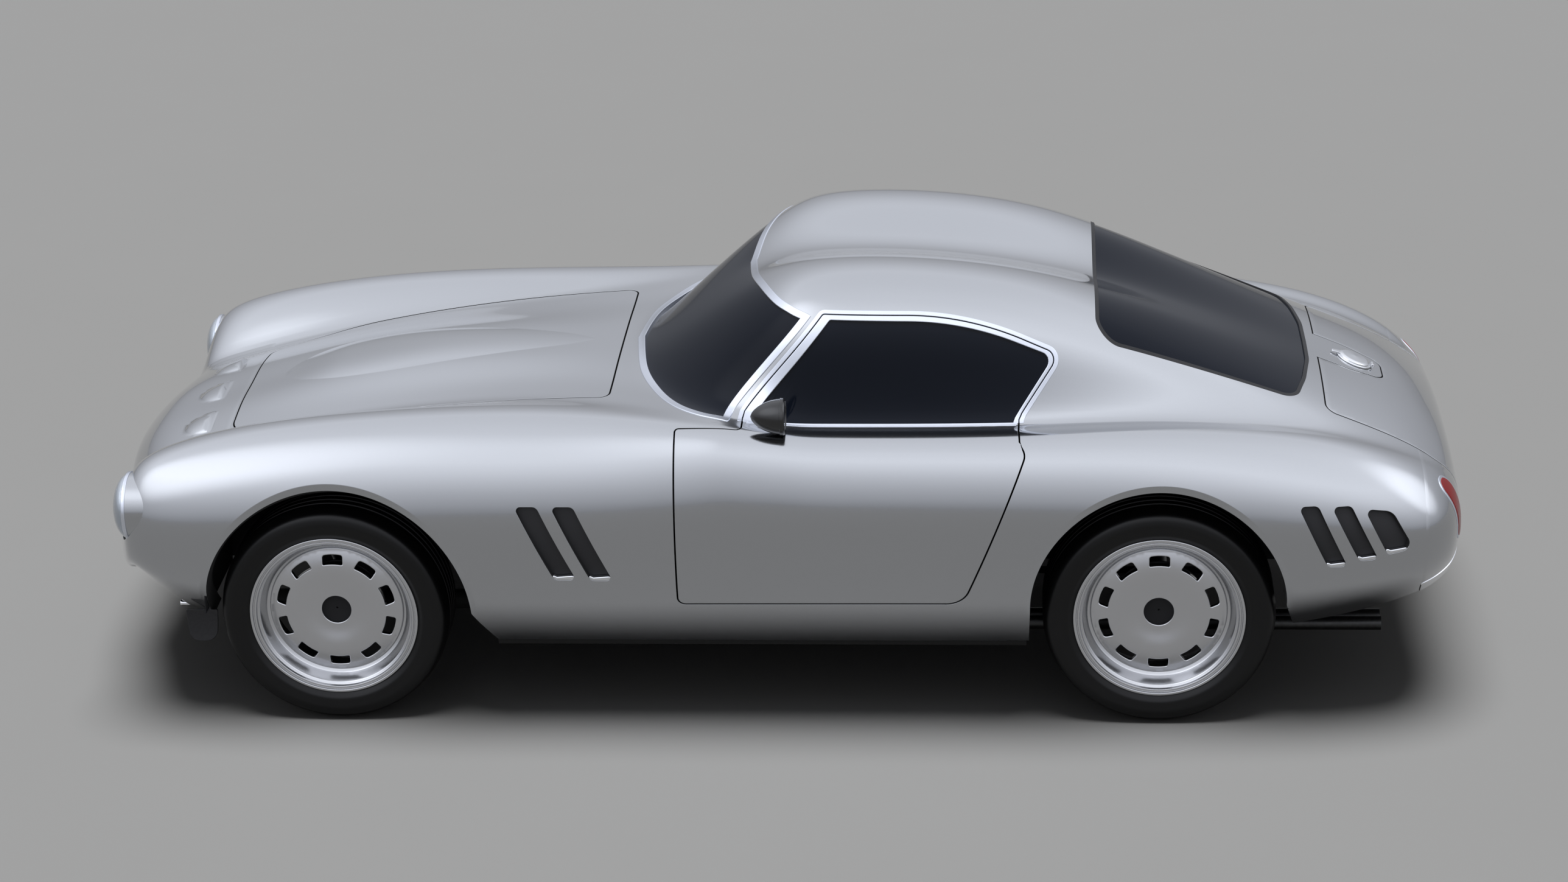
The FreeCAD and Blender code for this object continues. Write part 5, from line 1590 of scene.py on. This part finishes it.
@dataclass
class Headlamp:
    """A domed glass in a bright ring with a bowl and a bulb behind it."""

    depth: float = 0.045

    def build(self) -> None:
        """Makes both headlights, turned so that their fronts face -X."""
        for side_name, _ in SIDES:
            node = "headlight_" + side_name
            low, high = box_of(node)
            middle = 0.5 * (low + high)
            r = 0.5 * (high[2] - low[2])
            seam = low[0] + self.depth
            t = np.linspace(0, math.pi / 2, 24)
            dome = np.stack([(r - 0.004) * np.sin(t), self.depth * np.cos(t)], 1)
            dome[0, 0] = 1e-4
            inner = dome[::-1] * [(r - 0.008) / (r - 0.004), 0.91]
            inner[-1, 0] = 1e-4
            place = (seam, middle[1], middle[2])
            bowl_r = r - 0.009
            s = np.linspace(0.04, 1, 20)
            bowl = np.stack([bowl_r * s, -0.055 + 0.05 * s ** 2], 1)
            behind = bowl[::-1] - [0, 0.003]
            bulb = rounded(((0.1, 12, 0.05), (7, 10, 4), (9, -8, 4), (9, -40, 1),
                            (0.1, -40, 0.05)))
            sleeve = rounded(((95, -3, 0.5), (99.4, -3, 0.5), (99.4, -110, 0.5),
                              (95, -110, 0.5)))
            ring = rounded(((r * 1e3 - 6, -8, 1), (r * 1e3 + 2.5, -8, 2), (r * 1e3 + 2.5, 3, 3),
                            (r * 1e3 - 6, 5, 2)))
            for name, profile, finish, slot, stands in (
                    (node, np.vstack([dome, inner]), LAMP_GLASS, "lens", (node,)),
                    ("lamp_bowl_" + side_name, np.vstack([bowl, behind]), CHROME, "bright", ()),
                    ("lamp_bulb_" + side_name, bulb, CLEAR, "lens", ()),
                    ("lamp_sleeve_" + side_name, sleeve, SILVER, "silver_paint", ()),
                    ("lamp_ring_" + side_name, ring, POLISHED, "bright", ())):
                Piece(name, "body", finish, slot, stands).make(
                    [lathe(profile, 96).placed(AHEAD, place)])


@dataclass
class Mirror:
    """A black bullet mirror with a beaded rim on a small foot."""

    radius: float = 0.0535
    length: float = 0.098

    def build(self) -> None:
        """Makes a mirror on each door."""
        for side_name, side in SIDES:
            node = "mirror_" + side_name
            low, high = box_of(node)
            back, top = high[0], high[2] + 0.002
            centre = (back, side * (max(abs(low[1]), abs(high[1])) - self.radius),
                      top - self.radius)
            s = np.linspace(0, 1, 26)
            r = self.radius * 1e3
            hull = np.stack([np.maximum(0.1, (r - 2) * (1 - (1 - s) ** 2) ** 0.62),
                             self.length * 1e3 * (1 - s)], 1)
            loop = np.vstack([hull, rounded((
                (r - 2, 13, 1), (r, 12, 1), (r, 3, 2), (r - 3, -2, 2), (r - 6, -2, 1),
                (r - 7, 3, 1)), 1.0)[2:], [(0.1, 3)]]) * MM
            Piece(node, "door_" + side_name, BLACK_TRIM, "trim_black", (node,)).make(
                [lathe(loop, 72).placed(AHEAD, centre), self._foot(centre, side, low[2])])
            glass = rounded(((0.1, 2.5, 0.05), (r - 7.2, 2.5, 0.5), (r - 7.2, 0.5, 0.5),
                             (0.1, 0.5, 0.05)))
            Piece("mirror_glass_" + side_name, "door_" + side_name, CHROME, "bright").make(
                [lathe(glass, 48).placed(AHEAD, centre)])

    def _foot(self, centre: Sequence[float], side: int, low: float) -> Mesh:
        """The stem from the body of the mirror down to the door."""
        height = centre[2] - self.radius * 0.7 - low
        loop = rounded(((12, 0, 3), (9, 6, 4), (7, height * 1e3, 1), (0.1, height * 1e3, 0.05),
                        (0.1, 0, 0.05)))
        turn = np.array([[1.0, 0, 0], [0, 0, -1], [0, 1, 0]])
        return lathe(loop, 32).placed(turn, (centre[0] - 0.03, centre[1] + side * -0.012, low))


@dataclass
class FuelCap:
    """A round flip cap with its ring, hinge and lever on the tail's tongue."""

    shell: BodyShell
    x: float = 2998.0
    radius: float = 0.0545

    def build(self) -> None:
        """Makes the cap square to the skin at its place."""
        skin = self.shell.field_.skin
        run = Run(View.PLAN, ((0, 0),), columns=TOP_COLUMNS)
        uv = skin.locate(run, np.array([[self.x, -2.0]]))
        normal = skin.normal(uv)[0] * [1, 0, 1]
        normal = normal / np.linalg.norm(normal)
        place = to_metres(skin.outer(uv))[0] * [1, 0, 1]
        across = np.array([0.0, 1.0, 0.0])
        turn = np.stack([np.cross(normal, across), normal, across], 1)
        r = self.radius * 1e3
        ring = rounded(((r - 8, 0.3, 0.5), (r + 1, 0.3, 1), (r + 1, 4, 2), (r - 8, 6, 2)))
        cap = rounded(((0.1, 3, 0.05), (r - 6, 3, 1), (r - 5, 8, 2), (r - 14, 11.5, 14),
                       (0.1, 14, 0.05)))
        hinge = rounded(((2, -13, 1), (5.5, -13, 1), (5.5, 13, 1), (2, 13, 1)))
        lever = rounded(((-9, 0, 4), (9, 0, 4), (6, 24, 5), (-6, 24, 5)))
        flat = cut_plate(lever, (), lambda at: 0.004 - 0.002 * (at[:, 1] / 0.02), 0.003, 0.001,
                         0.004)
        side_turn = turn @ np.array([[1.0, 0, 0], [0, 0, 1], [0, -1, 0]])
        parts = [lathe(ring, 96).placed(turn, place), lathe(cap, 96).placed(turn, place),
                 lathe(hinge, 32).placed(side_turn, place + turn @ np.array(
                     [-r * MM - 0.004, 0.007, 0.0])),
                 flat.placed(turn, place + turn @ np.array([r * MM - 0.006, 0.005, 0.0]))]
        Piece("fuel_cap", "body", CHROME, "bright", ("fuel_cap",)).make(parts)


# ---------------------------------------------------------------------------
# The cabin
# ---------------------------------------------------------------------------


@dataclass
class Pad:
    """A crowned cushion with rolled sides and sewn channels."""

    middle: tuple[float, float, float]
    half: tuple[float, float, float]
    lean: float
    channels: int = 5
    pinch: float = 0.006

    def mesh(self) -> Mesh:
        """The cushion as a closed surface.

        Formula: a superellipsoid on a grid of two angles, its top crowned by
        the square of the distance from the edges, the sides drawn in between
        the corners, and a narrow valley along each seam.
        """
        rows, columns = 49, 96
        a = np.linspace(-math.pi / 2, math.pi / 2, rows)[:, None]
        b = np.linspace(0, 2 * math.pi, columns + 1)[:-1][None, :]

        def power(value: Array, p: float) -> Array:
            """A signed power."""
            return np.sign(value) * np.abs(value) ** p

        x = power(np.cos(a), 0.5) * power(np.cos(b), 0.35)
        y = power(np.cos(a), 0.5) * power(np.sin(b), 0.35)
        z = power(np.sin(a), 0.75) + 0 * b
        shrink = 1 - 0.05 * (1 - y ** 2) * np.abs(x) ** 6
        narrow = 1 - 0.04 * (1 - x ** 2) * np.abs(y) ** 6
        crown = 1 + 0.25 * (1 - x ** 2) * (1 - y ** 2) * (z > 0)
        bolster = 0.35 * smooth_step((np.abs(y) - 0.62) / 0.25) * (z > 0)
        phase = (y / 0.62 * 0.5 + 0.5) * self.channels
        valley = np.exp(-((phase - np.round(phase)) / 0.09) ** 2) * (np.abs(y) < 0.63)
        hx, hy, hz = self.half
        z = z * hz * crown + bolster * hz * 0.6 - self.pinch * valley * smooth_step(z / 0.6)
        local = np.stack([x * hx * shrink, y * hy * narrow, z + 0 * x], -1)
        c, s = math.cos(math.radians(self.lean)), math.sin(math.radians(self.lean))
        turn = np.array([[c, 0, -s], [0, 1, 0], [s, 0, c]])
        points = local.reshape(-1, 3) @ turn.T + np.array(self.middle)
        index = np.arange(rows * columns).reshape(rows, columns)
        after = np.roll(index, -1, 1)
        face = np.stack([index[:-1], after[:-1], after[1:], index[1:]], -1).reshape(-1, 4)
        grid = points.reshape(rows, columns, 3)
        du = np.roll(grid, -1, 1) - np.roll(grid, 1, 1)
        dv = np.gradient(grid, axis=0)
        normal = unit(np.cross(du, dv)).reshape(-1, 3)
        normal[:columns] = -turn[:, 2]
        normal[-columns:] = turn[:, 2]
        return Mesh(points, [face], [normal[face]], [0])


@dataclass
class Cabin:
    """Two padded seats on their bases."""

    def build(self) -> None:
        """Makes the seats, each a cushion, a back and a base."""
        for side_name, _ in SIDES:
            node = "seat_" + side_name
            low, high = box_of(node)
            y = 0.5 * (low[1] + high[1])
            half = 0.5 * (high[1] - low[1]) - 0.006
            depth = high[0] - low[0]
            cushion = Pad((low[0] + 0.44 * depth, y, low[2] + 0.14), (0.235, half, 0.062), 6.0)
            back = Pad((high[0] - 0.135, y, low[2] + 0.335), (0.255, half, 0.05), -73.0)
            base = Pad((low[0] + 0.46 * depth, y, low[2] + 0.055), (0.22, half * 0.9, 0.05),
                       4.0, 1, 0.0)
            stands = (node,)
            for name, pad in (("seat_cushion_", cushion), ("seat_back_", back)):
                thing = Piece(name + side_name, "body", HIDE, "hide", stands).make([pad.mesh()])
                stands = ()
            Piece("seat_base_" + side_name, "body", BLACK_TRIM, "trim_black").make(
                [base.mesh()])


# ---------------------------------------------------------------------------
# Carried-over pieces, studio and camera
# ---------------------------------------------------------------------------

# The exhaust's finish is darkened as painted shade under the car.
CARRIED = {
    "floor_pan": UNDERSEAL, "chassis_frame": UNDERSEAL, "front_suspension": STEEL,
    "rear_axle": STEEL, "exhaust": SHADED_PIPE_STEEL, "engine_block": CAST_ALLOY,
    "dashboard": DASH_HIDE, "steering_wheel": WOOD, "grille": CAST_ALLOY,
    "knuckle_left": STEEL, "knuckle_right": STEEL,
}


@dataclass
class Underbody:
    """The CAD pieces that keep their shape and get finishes; the exhaust's finish is darkened as
    painted shade under the car.
    """

    finishes: dict[str, Finish]

    def build(self) -> None:
        """Gives each carried-over node its material."""
        for name, finish in self.finishes.items():
            thing = frame["nodes"][name]
            thing.data.materials.clear()
            thing.data.materials.append(finish.build())
            LOG.info("%-26s carried over", name)


@dataclass
class Studio:
    """A pale floor, soft overhead light and the camera."""

    dome: tuple[tuple[float, float], ...] = (
        (-1.0, 0.30), (-0.01, 0.34), (0.0, 0.46), (0.10, 0.63), (0.26, 0.80), (0.42, 1.02),
        (0.57, 1.26), (0.71, 1.44), (0.87, 1.34), (1.0, 1.20))
    glows: tuple[tuple[tuple[float, float, float], tuple[float, float], float], ...] = (
        ((-0.61, -0.35, 0.71), (0.84, 0.985), 0.70), ((0.83, 0.15, 0.54), (0.90, 0.99), 0.75))
    tint: tuple[float, float, float, float] = (0.965, 0.995, 1.075, 1.0)
    reach: int = 40
    fill: float = 0.09
    overhead: float = 0.89
    spread: float = 34.0
    lens: float = 81.59
    place: tuple[float, float, float] = (0.731, -10.013, 4.775)
    yaw: float = -4.184
    pitch: float = 22.683
    roll: float = -1.6408

    def build(self) -> None:
        """Makes the floor, the world, the lamps and the camera."""
        self._floor()
        self._world()
        self._overhead()
        self._camera()
        bpy.context.scene.view_settings.view_transform = "Standard"

    def _floor(self) -> None:
        """A wide flat floor, a grid of unit steps in x and y at height 0."""
        s = np.linspace(-self.reach, self.reach, 2 * self.reach + 1)
        x, y = np.meshgrid(s, s, indexing="ij")
        verts = np.stack([x, y, np.zeros_like(x)], -1).reshape(-1, 3)
        index = np.arange(len(verts)).reshape(x.shape)
        quads = np.stack([index[:-1, :-1], index[1:, :-1], index[1:, 1:], index[:-1, 1:]],
                         -1).reshape(-1, 4)
        floor = make_object("studio_floor", Mesh(
            verts, [quads], [np.tile([0.0, 0, 1], quads.shape + (1,))], [0]))
        floor.data.materials.append(FLOOR.build())

    def _world(self) -> None:
        """A soft dome that glossy, glass and camera rays see, over an even fill.

        Formula: brightness is a ramp over the height of the direction, less
        to the far side, plus two round soft glows given by their direction.
        Matt surfaces get the even fill and the overhead lamp instead.
        """
        world = bpy.data.worlds.new("studio dome")
        bpy.context.scene.world = world
        world.use_nodes = True
        nodes = NodeGroup(world.node_tree)
        place = nodes.add("TexCoord", {}).outputs["Generated"]
        split = nodes.add("SeparateXYZ", {"Vector": place}).outputs
        half = self._mapped(nodes, split["Z"], (-1, 1), (0, 1), "LINEAR")
        ramp = nodes.add("ValToRGB", {"Fac": half})
        stops = ramp.color_ramp.elements
        first, *middle, last = ((0.5 + 0.5 * height, (value, value, value, 1))
                                for height, value in self.dome)
        for element, (position, colour) in zip(stops, (first, last)):
            element.position, element.color = position, colour
        for position, colour in middle:
            stops.new(position).color = colour
        level = self._mapped(nodes, split["Y"], (-0.1, 0.9), (1, 0.72), "SMOOTHSTEP")
        total = self._math(nodes, "MULTIPLY", ramp.outputs["Color"], level)
        for direction, (wide, tight), gain in self.glows:
            dot = nodes.add("VectorMath", {0: place, 1: Vector(direction).normalized()},
                            operation="DOT_PRODUCT").outputs["Value"]
            glow = self._mapped(nodes, dot, (wide, tight), (0, gain), "SMOOTHSTEP")
            total = self._math(nodes, "ADD", total, glow)
        tint = nodes.add("Mix", {"Factor": 1.0, "A": total, "B": self.tint},
                         data_type="RGBA", blend_type="MULTIPLY").outputs["Result"]
        seen = nodes.tree.nodes["Background"]
        nodes.fill(seen, {"Color": tint})
        plain = nodes.add("Background", {"Color": (self.fill, self.fill, self.fill, 1)})
        path = nodes.add("LightPath", {}).outputs
        looks = self._math(nodes, "MAXIMUM", path["Is Glossy Ray"],
                           path["Is Transmission Ray"])
        looks = self._math(nodes, "MAXIMUM", looks, path["Is Camera Ray"])
        both = nodes.add("MixShader", {0: looks, 1: plain.outputs[0], 2: seen.outputs[0]})
        nodes.fill(nodes.tree.nodes["World Output"], {"Surface": both.outputs[0]})

    @staticmethod
    def _mapped(nodes: NodeGroup, value: bpy.types.NodeSocket, source: tuple[float, float],
                target: tuple[float, float], kind: str) -> bpy.types.NodeSocket:
        """A value carried from one range to another."""
        ends = dict(zip(("From Min", "From Max", "To Min", "To Max"), source + target))
        return nodes.add("MapRange", {**ends, "Value": value},
                         interpolation_type=kind).outputs["Result"]

    @staticmethod
    def _math(nodes: NodeGroup, operation: str, a: bpy.types.NodeSocket,
              b: bpy.types.NodeSocket) -> bpy.types.NodeSocket:
        """Two values joined by one operation."""
        return nodes.add("Math", {0: a, 1: b}, operation=operation).outputs["Value"]

    def _overhead(self) -> None:
        """A wide soft light from straight above, which reflections don't show."""
        data = bpy.data.lights.new("overhead", "SUN")
        data.energy = math.pi * self.overhead
        data.angle = math.radians(self.spread)
        lamp = bpy.data.objects.new("overhead", data)
        lamp.location = (0.0, 0.0, 6.0)
        lamp.visible_glossy = False
        bpy.context.scene.collection.objects.link(lamp)

    def _camera(self) -> None:
        """The camera, from its place and its three angles."""
        yaw, pitch, roll = (math.radians(a) for a in (self.yaw, self.pitch, self.roll))
        ahead = Vector((math.sin(yaw) * math.cos(pitch), math.cos(yaw) * math.cos(pitch),
                        -math.sin(pitch)))
        right = Vector((math.cos(yaw), -math.sin(yaw), 0.0))
        up = right.cross(ahead)
        turned = right * math.cos(roll) + up * math.sin(roll)
        above = -right * math.sin(roll) + up * math.cos(roll)
        data = bpy.data.cameras.new("camera")
        data.lens = self.lens
        data.sensor_width = 36.0
        camera = bpy.data.objects.new("camera", data)
        rows = Matrix((turned, above, -ahead)).transposed()
        camera.matrix_world = Matrix.Translation(self.place) @ rows.to_4x4()
        bpy.context.scene.collection.objects.link(camera)
        bpy.context.scene.camera = camera


def main() -> None:
    """Builds every sub-assembly in order."""
    shell = BodyShell()
    shell.build()
    Glazing(shell).build()
    SideDetails(shell).build()
    RoadWheel().build()
    WheelWells().build()
    Headlamp().build()
    Mirror().build()
    FuelCap(shell).build()
    Cabin().build()
    Underbody(CARRIED).build()
    Studio().build()


if __name__ == "__main__":
    main()
